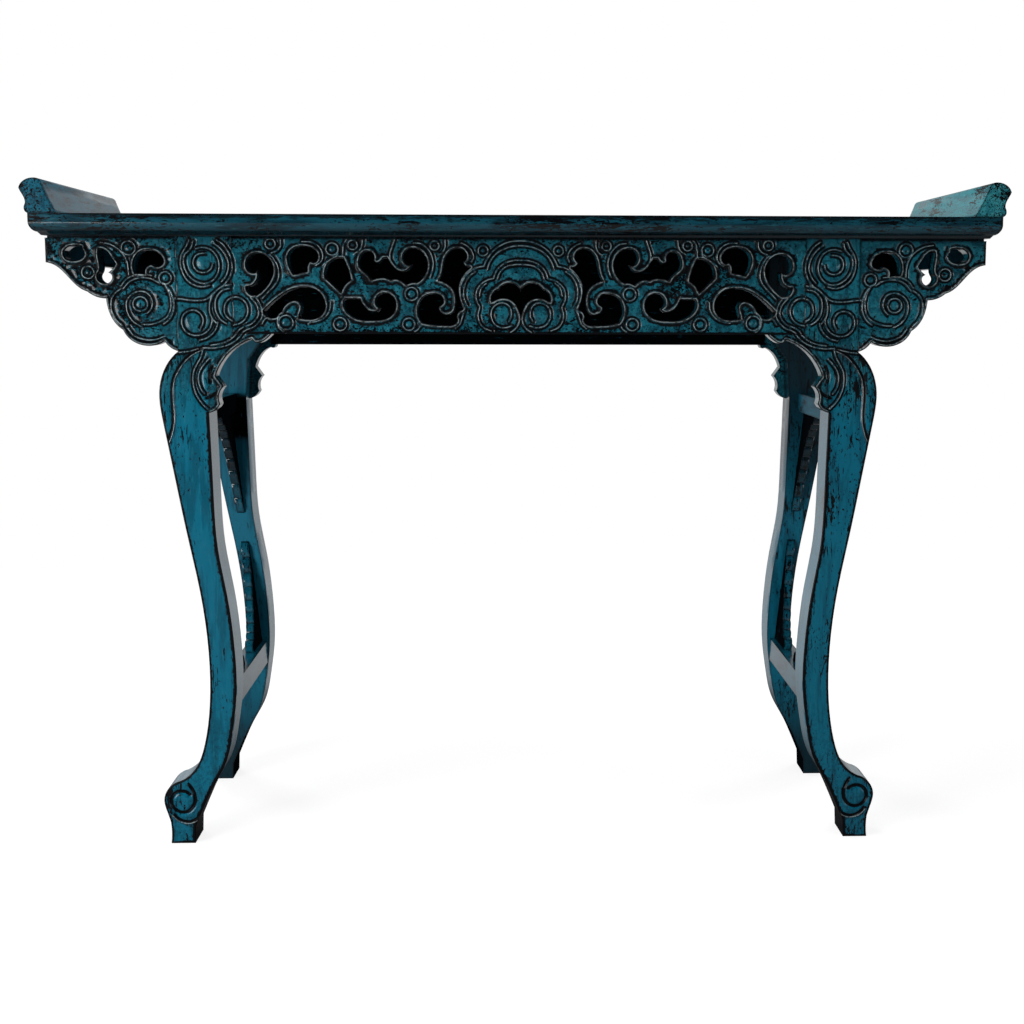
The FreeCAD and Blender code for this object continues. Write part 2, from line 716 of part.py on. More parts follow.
def leg_joint():
    """Where the inner side of the left leg meets its bracket, from below upwards."""
    return leg_edges()[1][-1] + [(-leg_inner, apron_bottom)]


def left_frame_tenon(name, middle, level, height, gap):
    """Both tenons of a left rail or stretcher as one bar, or with a gap their mortises."""
    reach = f"({LEG_BACK} - dim.frame_tenon_length - {gap})"
    return box(
        name,
        f"{middle} - dim.frame_tenon / 2 - {gap}",
        reach,
        f"{level} + dim.frame_shoulder - {gap}",
        f"dim.frame_tenon + 2 * {gap}",
        f"-2 * {reach}",
        f"{height} - 2 * dim.frame_shoulder + 2 * {gap}",
    )


def left_peg(name, middle, level, height, gap):
    """The uncut peg through the front tenon of a left rail or stretcher, or with a gap its hole."""
    peg = doc.addObject("Part::Cylinder", name)
    peg.Placement = FreeCAD.Placement(Vector(), FreeCAD.Rotation(Vector(0, 1, 0), -90))
    return bind(
        peg,
        x=f"{middle} + dim.frame_tenon / 2 + dim.peg_embed + {gap}",
        y=f"{LEG_BACK} - dim.frame_tenon_length / 2",
        z=f"{level} + {height} / 2",
        Radius=f"dim.peg_diameter / 2 + {gap}",
        Height="2 * dim.leg_block",
    )


SIDE_RAIL = (f"(-{LEG_SPREAD} - dim.side_rail_offset)", SIDE_RAIL_LEVEL, "dim.side_rail_height")
STRETCHER = (f"(-{LEG_SPREAD} + dim.stretcher_inset)", "dim.stretcher_level", "dim.stretcher_height")


def make_legs():
    outer, inner = leg_edges()
    block = [
        [inner[-1][-1], (-leg_inner, apron_bottom)],
        [(-leg_inner, apron_bottom), (-leg_inner, rail_bottom)],
        [(-leg_inner, rail_bottom), (-leg_outer, rail_bottom)],
        [(-leg_outer, rail_bottom), outer[0][0]],
    ]
    floor = [[outer[-1][-1], inner[0][0]]]
    outline = wire(outer + floor + inner + block, front_view)
    body = extruded("leg_body", [outline], Vector(0, 1, 0), "dim.leg_depth")
    bind(body.Base, y=CARVED)
    whole = fuse("leg_with_tenon", [body, left_leg_tenon("leg_tenon", "0")])
    seats = [
        left_tongue("leg_apron_seat", LEG_INNER, SLACK),
        left_tongue("leg_wing_seat", LEG_OUTER, SLACK),
        left_frame_tenon("leg_side_rail_mortise", *SIDE_RAIL, SLACK),
        left_frame_tenon("leg_stretcher_mortise", *STRETCHER, SLACK),
        left_peg("leg_side_rail_peg_hole", *SIDE_RAIL, SLACK),
        left_peg("leg_stretcher_peg_hole", *STRETCHER, SLACK),
    ]
    four_nodes(cut("leg", whole, seats), "{}_leg")
    return body


def make_brackets():
    def whole(name, leaf, apron_level):
        joint = leg_joint()
        low = joint[0][1]
        upward = (apron_level - low) / leaf[-1][-1][1]
        edge = [[(-leg_inner - a, low + b * upward) for a, b in stroke] for stroke in BRACKET_SCALLOPS + leaf]
        back = [edge[-1][-1], (-leg_inner, apron_level)] + joint[::-1]
        if apron_level == apron_bottom:
            back.pop(1)
        lines = [[start, end] for start, end in zip(back, back[1:])]
        return carved_board(name, [wire(edge + lines, front_view)])

    left = whole("front_bracket", FRONT_BRACKET_LEAF, apron_bottom)
    left_right_nodes(left, "front_left_bracket", "front_right_bracket")
    rear = mirror("rear_bracket", whole("rear_bracket_drawn", REAR_BRACKET_LEAF, rear_apron_bottom))
    left_right_nodes(rear, "rear_left_bracket", "rear_right_bracket")


# End frames


def make_frame_rail(name, rail, thickness, label):
    """A rail between a front and a rear leg, with its tenons."""
    middle, level, height = rail
    body = box(
        name + "_body",
        f"{middle} - {thickness} / 2",
        LEG_BACK,
        level,
        thickness,
        f"-2 * {LEG_BACK}",
        height,
    )
    whole = fuse(name + "_with_tenons", [body, left_frame_tenon(name + "_tenons", *rail, "0")])
    hole = left_peg(name + "_peg_hole", *rail, SLACK)
    finished = cut(name, whole, [hole, mirror(name + "_rear_hole", hole)])
    left_right_nodes(finished, label.format("left"), label.format("right"))


def make_pegs(name, rail, leg_body):
    """Four pegs, each cut flush with the outer side of its leg."""
    front_left = common(name + "_front_left", [left_peg(name + "_uncut", *rail, "0"), leg_body])
    rear_left = mirror(name + "_rear_left", front_left)
    pegs = [front_left, rear_left]
    pegs += [mirror(peg.Name + "_right", peg, across_x=True) for peg in pegs]
    group = doc.addObject("Part::Compound", name + "_group")
    group.Links = pegs
    node(group, name)


def spandrel_edge(height):
    """The outline of a spandrel: reach along its rail and height along its leg, with a lobed free edge."""
    width = size("spandrel_width")
    nose = size("spandrel_nose")
    lobes = int(size("lobe_count"))

    def on_line(share):
        return Vector(width * (1 - share**0.75), nose + (height - nose) * share**1.5, 0)

    strokes = [[(width, 0), (width, nose)]]
    for lobe in range(lobes):
        start, end = on_line(lobe / lobes), on_line((lobe + 1) / lobes)
        out = Vector(end.y - start.y, start.x - end.x, 0).normalize()
        crown = (start + end) / 2 + out * size("lobe_rise")
        strokes.append([(point.x, point.y) for point in (start, crown, end)])
    return strokes + [[(0, height), (0, 0)], [(0, 0), (width, 0)]]


def make_spandrels():
    """Boards in the leaning plane of the end frame: the outline within a slab that follows the legs."""
    low = size("stretcher_level") + size("stretcher_height")
    high = side_rail_level
    low_x = -leg_spread + size("stretcher_inset")
    high_x = -leg_spread - size("side_rail_offset")
    half = size("spandrel_thickness") / 2
    leg_back = front + size("front_setback") + size("leg_depth")
    strokes = spandrel_edge((high - low - size("spandrel_gap")) / 2)
    slab_points = [(low_x - half, low), (low_x + half, low), (high_x + half, high), (high_x - half, high)]
    slab_outline = wire(polygon(slab_points), front_view)

    def whole(name, level, upward):
        outline = wire(strokes, lambda a, b: Vector(0, leg_back + a, level + b * upward))
        board = extruded(name + "_board", [outline], Vector(1, 0, 0), TOP_END)
        bind(board.Base, x=f"-{TOP_END}")
        slab = extruded(name + "_slab", [slab_outline], Vector(0, 1, 0), "dim.top_depth")
        bind(slab.Base, y=FRONT)
        return common(name, [board, slab])

    four_nodes(whole("lower_spandrel", low, 1), "{}_lower_spandrel")
    four_nodes(whole("upper_spandrel", high, -1), "{}_upper_spandrel")


make_long_rails()
make_end_rails()
make_panel()
make_battens()
make_raised_ends()
make_front_apron()
make_rear_apron()
make_wings()
make_end_boards()
front_left_leg_body = make_legs()
make_brackets()
make_frame_rail("side_rail", SIDE_RAIL, "dim.side_rail_thickness", "{}_upper_side_rail")
make_frame_rail("stretcher", STRETCHER, "dim.stretcher_thickness", "{}_stretcher")
make_pegs("side_rail_pegs", SIDE_RAIL, front_left_leg_body)
make_pegs("stretcher_pegs", STRETCHER, front_left_leg_body)
make_spandrels()
doc.recompute()

for piece in doc.Objects:
    if "Invalid" in piece.State or "Error" in piece.State:
        raise RuntimeError(f"{piece.Name} failed: {piece.State}")
for piece in nodes:
    if piece.Shape.isNull() or not piece.Shape.isValid() or not piece.Shape.Solids:
        raise RuntimeError(f"{piece.Label} has no valid shape")

os.makedirs("parts", exist_ok=True)
for piece in nodes:
    piece.Shape.exportStep(f"parts/{piece.Label}.step")
    print(f"{piece.Label}: {len(piece.Shape.Solids)} solid(s), {piece.Shape.Volume / 1000:.1f} cm3")
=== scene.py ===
import math

import bmesh
import bpy
import numpy as np
from mathutils import Matrix, Vector, kdtree
from mathutils.geometry import delaunay_2d_cdt, interpolate_bezier


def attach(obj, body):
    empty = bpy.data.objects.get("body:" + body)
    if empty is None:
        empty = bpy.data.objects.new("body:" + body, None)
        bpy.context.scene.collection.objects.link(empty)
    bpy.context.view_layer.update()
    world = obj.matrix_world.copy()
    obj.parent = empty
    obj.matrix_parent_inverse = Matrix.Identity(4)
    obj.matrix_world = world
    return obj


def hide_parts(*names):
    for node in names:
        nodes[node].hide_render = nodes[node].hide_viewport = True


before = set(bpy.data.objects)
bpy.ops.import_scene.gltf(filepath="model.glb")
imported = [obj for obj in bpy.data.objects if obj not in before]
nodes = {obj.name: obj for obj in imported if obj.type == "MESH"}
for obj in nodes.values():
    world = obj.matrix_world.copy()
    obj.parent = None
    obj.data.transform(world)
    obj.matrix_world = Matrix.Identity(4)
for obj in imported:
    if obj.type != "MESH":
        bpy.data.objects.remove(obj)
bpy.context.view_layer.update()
scene = bpy.context.scene

MM = 0.001
FACE_Y = -182.0  # plane of the carved faces, millimetres


def srgb(red, green, blue):
    """A colour given in display values from 0 to 255, as the linear values that shaders take."""
    values = []
    for value in (red, green, blue):
        share = value / 255
        values.append(share / 12.92 if share <= 0.04045 else ((share + 0.055) / 1.055) ** 2.4)
    return (*values, 1.0)


# Carved lines of the left half: distance from the middle and height, in millimetres
CURVE_STEP = 0.6  # from point to point along a line


def smooth(points):
    """Points along a smooth curve through given points."""
    knots = [Vector((a, b, 0)) for a, b in points]
    ends = [2 * knots[0] - knots[1]] + knots + [2 * knots[-1] - knots[-2]]
    line = []
    for before, start, end, after in zip(ends, ends[1:], ends[2:], ends[3:]):
        count = max(2, int((end - start).length / CURVE_STEP) + 1)
        handle_1 = start + (end - before) / 6
        handle_2 = end - (after - start) / 6
        line += interpolate_bezier(start, handle_1, handle_2, end, count)[:-1]
    line.append(knots[-1])
    return [(p.x, p.y) for p in line]


def ring(a, b, radius):
    """Points along a circle."""
    count = int(2 * math.pi * radius / CURVE_STEP)
    turns = [2 * math.pi * i / count for i in range(count)]
    return [(a + radius * math.cos(t), b + radius * math.sin(t)) for t in turns]


# Wing outside the leg
WING_LINES = [
    smooth([(516, 776), (517, 790), (521, 801), (529, 810), (540, 816), (552, 818)]),
    smooth([(527, 757.5), (534, 752.5), (539, 745), (540.3, 736), (539, 727), (534, 717),
            (527, 710)]),
    smooth([(526, 762), (519.5, 770), (510, 775), (498, 776.5), (486, 775)]),
    smooth([(522.5, 759), (516, 766.5), (507, 771), (497, 772.3), (486, 770.5), (476, 765)]),
    smooth([(471, 765), (463, 756), (459, 746), (458, 736), (460, 726), (465, 717.5), (472, 712)]),
    smooth([(468, 761), (463.5, 752), (462, 742), (462.5, 732), (466, 723), (472, 717.5),
            (480, 713.5), (490, 711), (498, 711)]),
    smooth([(493, 726), (488.5, 731), (486, 739), (488, 747), (494, 753), (503, 754.5), (512, 751),
            (518.5, 744), (520.5, 735), (518, 724), (512, 715), (503, 709)]),
    ring(502, 738, 9.5),
    smooth([(519, 706), (512, 697), (503, 692.5), (492, 690.5), (481, 692), (472, 695.5)]),
]
# Spirals over the leg, between the wing and the openings of the apron
BLOCK_LINES = [
    smooth([(436, 822), (439.5, 814), (444, 807), (447.5, 799), (447.8, 789), (445, 778),
            (439, 768.5), (430, 762.5), (420, 760.5), (411, 762.5)]),
    smooth([(431, 820), (433.5, 812), (438, 806.5), (442.5, 802), (444, 793), (441.5, 782),
            (435.5, 773), (427, 767), (417.5, 765), (409, 767.5), (402.5, 773), (398.5, 781),
            (397.5, 790), (399.5, 799), (404.5, 806.5), (412, 811), (420.5, 812), (428, 810)]),
    smooth([(400, 822), (391, 815), (384.5, 805), (381, 794), (381, 783), (384.5, 772.5),
            (391, 764), (399, 758)]),
    smooth([(403, 817), (395, 810.5), (388.5, 801.5), (385.5, 792), (386, 783), (389.5, 774),
            (395, 767.5)]),
    smooth([(416, 804.5), (424, 803.5), (429.5, 799), (431.5, 791.5), (429, 784), (422.5, 779.5),
            (414.5, 779.8), (408.5, 784), (406, 791)]),
    smooth([(457, 745), (448, 744.5), (438, 743), (428, 742.5), (418, 743.5), (411, 747),
            (406.5, 752)]),
    smooth([(383, 763.5), (393, 761.5), (401, 756.5), (407, 749.5), (411, 740), (411.5, 729.5),
            (408.5, 720), (403, 713)]),
    smooth([(384, 758.5), (392, 757), (398.5, 752), (403, 744.5), (404, 735), (402, 725.5),
            (397, 717.5), (390, 712.5)]),
    smooth([(361, 755), (352.5, 749), (346, 740.5), (342.8, 731), (342.5, 722), (348, 713.5),
            (355, 707.5), (363, 704.5), (368.5, 701), (372.5, 695.5), (379, 689.5), (388, 684.5),
            (398, 681.5), (410, 680), (420, 680.5)]),
    smooth([(357, 746.5), (350.5, 739), (347.5, 731), (347.5, 724.5), (351.5, 717), (358, 711.5),
            (366, 708.5), (373, 704.5), (377.5, 698.5), (383, 693), (391, 688.5), (400, 685.5),
            (411, 684)]),
    smooth([(382, 716), (388, 720.5), (391.8, 728), (391.2, 737), (386.5, 744), (379, 747),
            (371, 746), (364.5, 741), (361.2, 733), (362, 724.5), (366, 717.5), (373, 712.5),
            (381, 710.5)]),
    smooth([(424, 706), (420.8, 712.5), (420.5, 720), (424.5, 726.5), (432, 730), (440, 728.5),
            (446.5, 723), (448.5, 714.5), (446, 705.5), (439.5, 699), (430.5, 696.5), (421, 698.5),
            (413.5, 704), (409.5, 711.5), (408, 720)]),
    smooth([(426, 690.5), (417, 693), (409, 698.5), (403.5, 706), (401, 714)]),
]
# Leaf on the knee and on the bracket
KNEE_LINES = [
    smooth([(422, 677), (424.5, 668), (430, 658.5), (434.5, 649), (435.8, 638), (434.5, 627),
            (430.5, 616), (424.5, 606.5), (417, 599)]),
    smooth([(414, 666), (419.5, 660), (425, 652.5), (428.2, 644), (428.2, 635), (425.5, 626),
            (421, 619.5)]),
    smooth([(455, 674), (446, 675), (437, 676.5), (428, 679)]),
]
# Outer edge of that leaf, and the lip under the curl of the foot
STEP_LINES = [
    smooth([(424, 677), (431.5, 673.5), (440, 668), (448, 659.5), (454.5, 650), (459.5, 640),
            (462, 629), (462.5, 617), (462, 603), (461.5, 590), (462.5, 577), (465.5, 565),
            (469.5, 555)]),
    smooth([(441, 37), (448, 31.5), (457, 28.5), (466, 29.5), (474, 33.5), (479.5, 39.5)]),
]
# Curl of the foot, and veins of the bracket
CUT_LINES = [
    smooth([(456.5, 83), (451.5, 75), (448.8, 66.5), (449.5, 57), (454, 49.5), (461, 45),
            (469, 44.6), (476, 48.5), (480.5, 55.5), (480.8, 64), (476.5, 71), (469, 74.2),
            (461, 73), (456, 69)]),
    smooth([(410.5, 656), (413.5, 649), (414.5, 642), (413.5, 635)]),
    smooth([(418.5, 614), (411, 617), (404.5, 622)]),
]
# Domes: centre, radius and height
DOMES = [
    (467, 59, 12.5, 0.9),
    (27, 724, 10.5, 0.7),
    (419, 791.5, 9.5, 0.7),
    (376.5, 728.5, 12.5, 0.6),
    (434.5, 714, 12.5, 0.6),
]
# Stems between the openings of the apron
APRON_LINES = [
    smooth([(331, 803), (325.5, 797), (321, 788), (319.5, 778), (321.5, 769), (327, 761),
            (334.5, 753.5), (342, 745.5)]),
    smooth([(316.5, 822), (317, 814), (321.5, 808), (329, 805)]),
    smooth([(270, 789.5), (264.5, 793.5), (261.5, 800), (263, 808.5), (268.5, 815.5), (277, 819.5),
            (288, 820)]),
    smooth([(241.5, 804), (244.5, 800.5), (250, 797.5), (257, 793.5), (262, 788.5)]),
    smooth([(230, 823), (234, 816), (235, 808), (235.5, 801), (237, 795), (236.5, 790)]),
    smooth([(209, 823), (210, 815), (213, 809), (219, 805)]),
    smooth([(167, 823), (170, 814), (173, 805), (172.5, 797), (169, 790.5)]),
    smooth([(252, 741), (253, 732), (256.5, 725), (262, 719.5), (270, 716), (280, 714)]),
    smooth([(316, 728), (320.5, 722.5), (322.5, 714.5), (320, 706.5), (315, 702)]),
    smooth([(343, 712), (339, 718.5), (332, 721), (324, 720.5)]),
    smooth([(120, 775), (117, 784), (116, 794), (118.5, 804), (124, 812), (131, 817.5),
            (140, 819)]),
    smooth([(100, 823), (100, 814), (103, 807.5), (107, 804)]),
    smooth([(64.5, 795), (62.5, 801), (65, 809), (71, 815), (79, 819)]),
    smooth([(134, 709), (137, 705), (141, 702.5)]),
    smooth([(76, 727), (78.5, 719.5), (81, 712.5), (87, 707)]),
]
# Cloud in the middle of the apron
CLOUD_LINES = [
    smooth([(49, 788.5), (58, 786.8), (67, 782), (74, 774.5), (79, 765), (80.8, 754), (79, 743.5),
            (75, 734.5)]),
    smooth([(60, 781.5), (66.5, 777), (71.5, 770.5), (75, 762), (76, 753), (74.5, 744),
            (71, 736.5)]),
    smooth([(49, 788.5), (45.5, 796.5), (39, 806), (30.5, 813.5), (20, 819), (10, 821.5),
            (0, 822)]),
    smooth([(44.5, 784.5), (41.5, 793), (36, 801.5), (28.5, 808), (19, 812.5), (9, 815),
            (0, 815.8)]),
    smooth([(36, 772.5), (34, 779), (30.5, 785), (24.5, 790.5), (16.5, 794.5), (7, 796.5),
            (0, 796.5)]),
    smooth([(31, 772), (29, 778.5), (24, 785), (17, 789), (8, 790.7), (0, 791)]),
    smooth([(36, 772.5), (44, 770.5), (51.5, 766), (57.5, 759), (59.5, 751), (58.5, 743),
            (54.5, 735)]),
    smooth([(46, 766), (51, 762), (54, 756), (55, 749.5)]),
    smooth([(16, 716), (12.8, 723), (13.2, 731.5), (17.5, 738), (25, 740.5), (33, 738),
            (38.5, 731.5), (39.5, 723), (36.5, 714.5), (30, 709), (21, 707.5), (12, 710)]),
    smooth([(36, 740), (29, 744.8), (20, 745), (11, 741), (4.5, 733.5), (2, 724), (2.5, 714.5),
            (7, 706.5), (14, 701.5)]),
    smooth([(55, 733), (57, 724), (54.5, 714), (48.5, 707), (40, 703.5)]),
]
# Small rings round a button: centre and radius
EYES = [
    (515.5, 811, 9),
    (569, 779, 8),
    (468.5, 772, 8),
    (330, 817, 6.5),
    (249, 810.5, 8),
    (222, 816, 6.2),
    (311.5, 714, 9.5),
    (240, 712, 8.5),
    (114, 815.5, 6),
    (50, 809, 6.5),
    (145, 752, 8.5),
    (149, 712, 8),
]
BUTTON, BUTTON_RISE = 0.55, 1.5  # radius as a share of the ring's, and height in millimetres
DOMES += [(a, b, BUTTON * radius, BUTTON_RISE) for a, b, radius in EYES]
EYE_LINES = [ring(a, b, radius) for a, b, radius in EYES]
RIDGE_LINES = WING_LINES + BLOCK_LINES + KNEE_LINES + APRON_LINES + CLOUD_LINES + EYE_LINES

# Relief, in millimetres
RIDGE = 2.0  # a ridge line has grooves on both sides, a step line on its right as drawn
RIDGE_WIDTH = 1.0
RIM_INSET = 2.0  # edge of an opening to the crest of its rim
GROOVE = 1.9
GROOVE_OFFSET = 2.5  # crest of a ridge to the bottom of its groove
GROOVE_WIDTH = 0.9
STEP_GROOVE_WIDTH = 1.9
CUT = 2.4  # a cut line is a groove alone
CUT_WIDTH = 2.3
HAND_WORK = 0.25  # unevenness of the carving
DROP = {"rim": 0.9, "edge": 1.1, "inner": 1.1, "joint": 0.06}  # how far an edge is rounded down
EDGE_ROUND = 1.4  # how far from the edge that begins
SHADE = {"rim": 0.9, "edge": 1.0, "inner": 1.0, "joint": 0.2}  # how dark an edge is worn
EDGE_SHADE = {"rim": 2.6, "edge": 3.2, "inner": 4.4, "joint": 2.6}  # how far that reaches
FLECK_REACH = 9.0  # how far from an edge the lacquer is flecked more

# Points of a carved face, in millimetres
LINE_STEP = 1.5  # along carved lines and edges
EDGE_STEP = 2.0  # longest piece of an edge
OFFSETS = (0.0, 0.8, 1.6, 2.5, 3.5, 5.0)  # beside carved lines and edges
EDGE_ROOM = 0.9  # least distance to an edge of a point beside it, as a share of its offset
LINE_ROOM = 0.7  # least distance to an edge of a point beside a carved line
GAP = 0.75  # least distance between all these points
GRID = 4.5  # step of the grid that fills the rest
GRID_ROW = 0.866  # from row to row, as a share of that step
GRID_ROOM = 0.55  # least distance of the grid to other points, as a share of it
MARGIN = 8  # how far round a board carved lines are looked for
FAR = 1e3  # distance that stands for no line
SHARP = math.radians(30)  # edges that turn more than this look sharp
FRONT_NORMAL = -0.99  # a face that looks this much to the front is a front face
SLACK = 1e-5  # corners this near to the carved plane lie in it, metres
SAME_PLACE = 1e-6  # corners this near to each other are one, metres
SAME_POINT = 1e-7  # the same for points of the triangulation, millimetres
TO_HULL = 0  # the triangulation fills the convex hull
TINY = 1e-9  # keeps a length from being nought


def offset_points(line, offsets, closed=False):
    """Points beside a line at the given distances to its left."""
    points = np.array(line)
    if closed:
        tangent = np.roll(points, -1, 0) - np.roll(points, 1, 0)
    else:
        tangent = np.gradient(points, axis=0)
    tangent /= np.maximum(np.linalg.norm(tangent, axis=1, keepdims=True), TINY)
    normal = np.stack([-tangent[:, 1], tangent[:, 0]], 1)
    return [points + normal * distance for distance in offsets]


def spaced(line, step):
    """Points along a line, about a step apart."""
    points = np.array(line)
    lengths = np.concatenate([[0], np.cumsum(np.linalg.norm(np.diff(points, axis=0), axis=1))])
    count = max(2, int(round(lengths[-1] / step)) + 1)
    marks = np.linspace(0, lengths[-1], count)
    return np.stack([np.interp(marks, lengths, points[:, i]) for i in (0, 1)], 1)


def inside(points, loops):
    """True where a point lies inside the outline and outside its holes."""
    x, z = points[:, 0], points[:, 1]
    odd = np.zeros(len(points), bool)
    for loop in loops:
        low, high = loop.min(0), loop.max(0)
        near = np.flatnonzero((x >= low[0]) & (x <= high[0]) & (z >= low[1]) & (z <= high[1]))
        if not len(near):
            continue
        u, v = x[near], z[near]
        inner = np.zeros(len(near), bool)
        for (a, b), (c, d) in zip(loop, np.roll(loop, -1, 0)):
            if b != d:
                inner ^= ((b > v) != (d > v)) & (u < (c - a) * (v - b) / (d - b) + a)
        odd[near] ^= inner
    return odd


def tree_of(points):
    """A search tree of points in the carved plane."""
    tree = kdtree.KDTree(len(points))
    for index, (a, b) in enumerate(points):
        tree.insert((a, b, 0), index)
    tree.balance()
    return tree


def distances(points, tree):
    """Distance of each point to the nearest one of a tree."""
    return np.array([tree.find((a, b, 0))[2] for a, b in points])


class Strokes:
    """Carved lines of both halves near a board, with the distance of any point to them."""

    def __init__(self, left_lines, low, high):
        self.lines = []
        for line in left_lines:
            for side in (-1, 1):
                points = np.array(line) * (side, 1)
                if (points.max(0) > low).all() and (points.min(0) < high).all():
                    self.lines.append((points, side))
        if self.lines:
            self.points = np.concatenate([points for points, side in self.lines])
            turned = [np.gradient(points, axis=0) * -side for points, side in self.lines]
            self.tangents = np.concatenate(turned)
            self.tree = tree_of(self.points)

    def away(self, points):
        """Distance to the nearest line, and whether a point is on its right as drawn."""
        if not self.lines:
            return np.full(len(points), FAR), np.zeros(len(points), bool)
        found = [self.tree.find((a, b, 0)) for a, b in points]
        index = [hit[1] for hit in found]
        offset = points - self.points[index]
        tangent = self.tangents[index]
        cross = tangent[:, 0] * offset[:, 1] - tangent[:, 1] * offset[:, 0]
        return np.array([hit[2] for hit in found]), cross < 0


def thinned(batches, gap, wall_tree):
    """Points of all batches that stand at least a gap apart, the first batches first."""
    kept = []
    cells = {}
    for points, room in batches:
        for a, b in points:
            cell = (int(a // gap), int(b // gap))
            near = [cells.get((cell[0] + i, cell[1] + j)) for i in (-1, 0, 1) for j in (-1, 0, 1)]
            if any(p and (p[0] - a) ** 2 + (p[1] - b) ** 2 < gap * gap for p in near):
                continue
            if wall_tree.find((a, b, 0))[2] < room:
                continue
            cells[cell] = (a, b)
            kept.append((a, b))
    return np.array(kept)


def walk_loops(edges):
    """Closed rounds of vertices along boundary edges."""
    links = {}
    for edge in edges:
        first, second = edge.verts
        links.setdefault(first, []).append(second)
        links.setdefault(second, []).append(first)
    rounds = []
    left = set(links)
    while left:
        start = min(left, key=lambda v: v.index)
        loop = [start]
        left.discard(start)
        while True:
            onward = [v for v in links[loop[-1]] if v in left]
            if not onward:
                break
            loop.append(onward[0])
            left.discard(onward[0])
        rounds.append(loop)
    return rounds


def hand_noise(points):
    """Slow unevenness of hand work, between about -1 and 1."""
    x, z = points[:, 0], points[:, 1]
    return (np.sin(x * 0.071 + 1.3) * np.sin(z * 0.093 + 0.4) + np.sin(x * 0.19 + z * 0.13 + 2.1)
            + 0.6 * np.sin(x * 0.37 - z * 0.29)) / 2.6


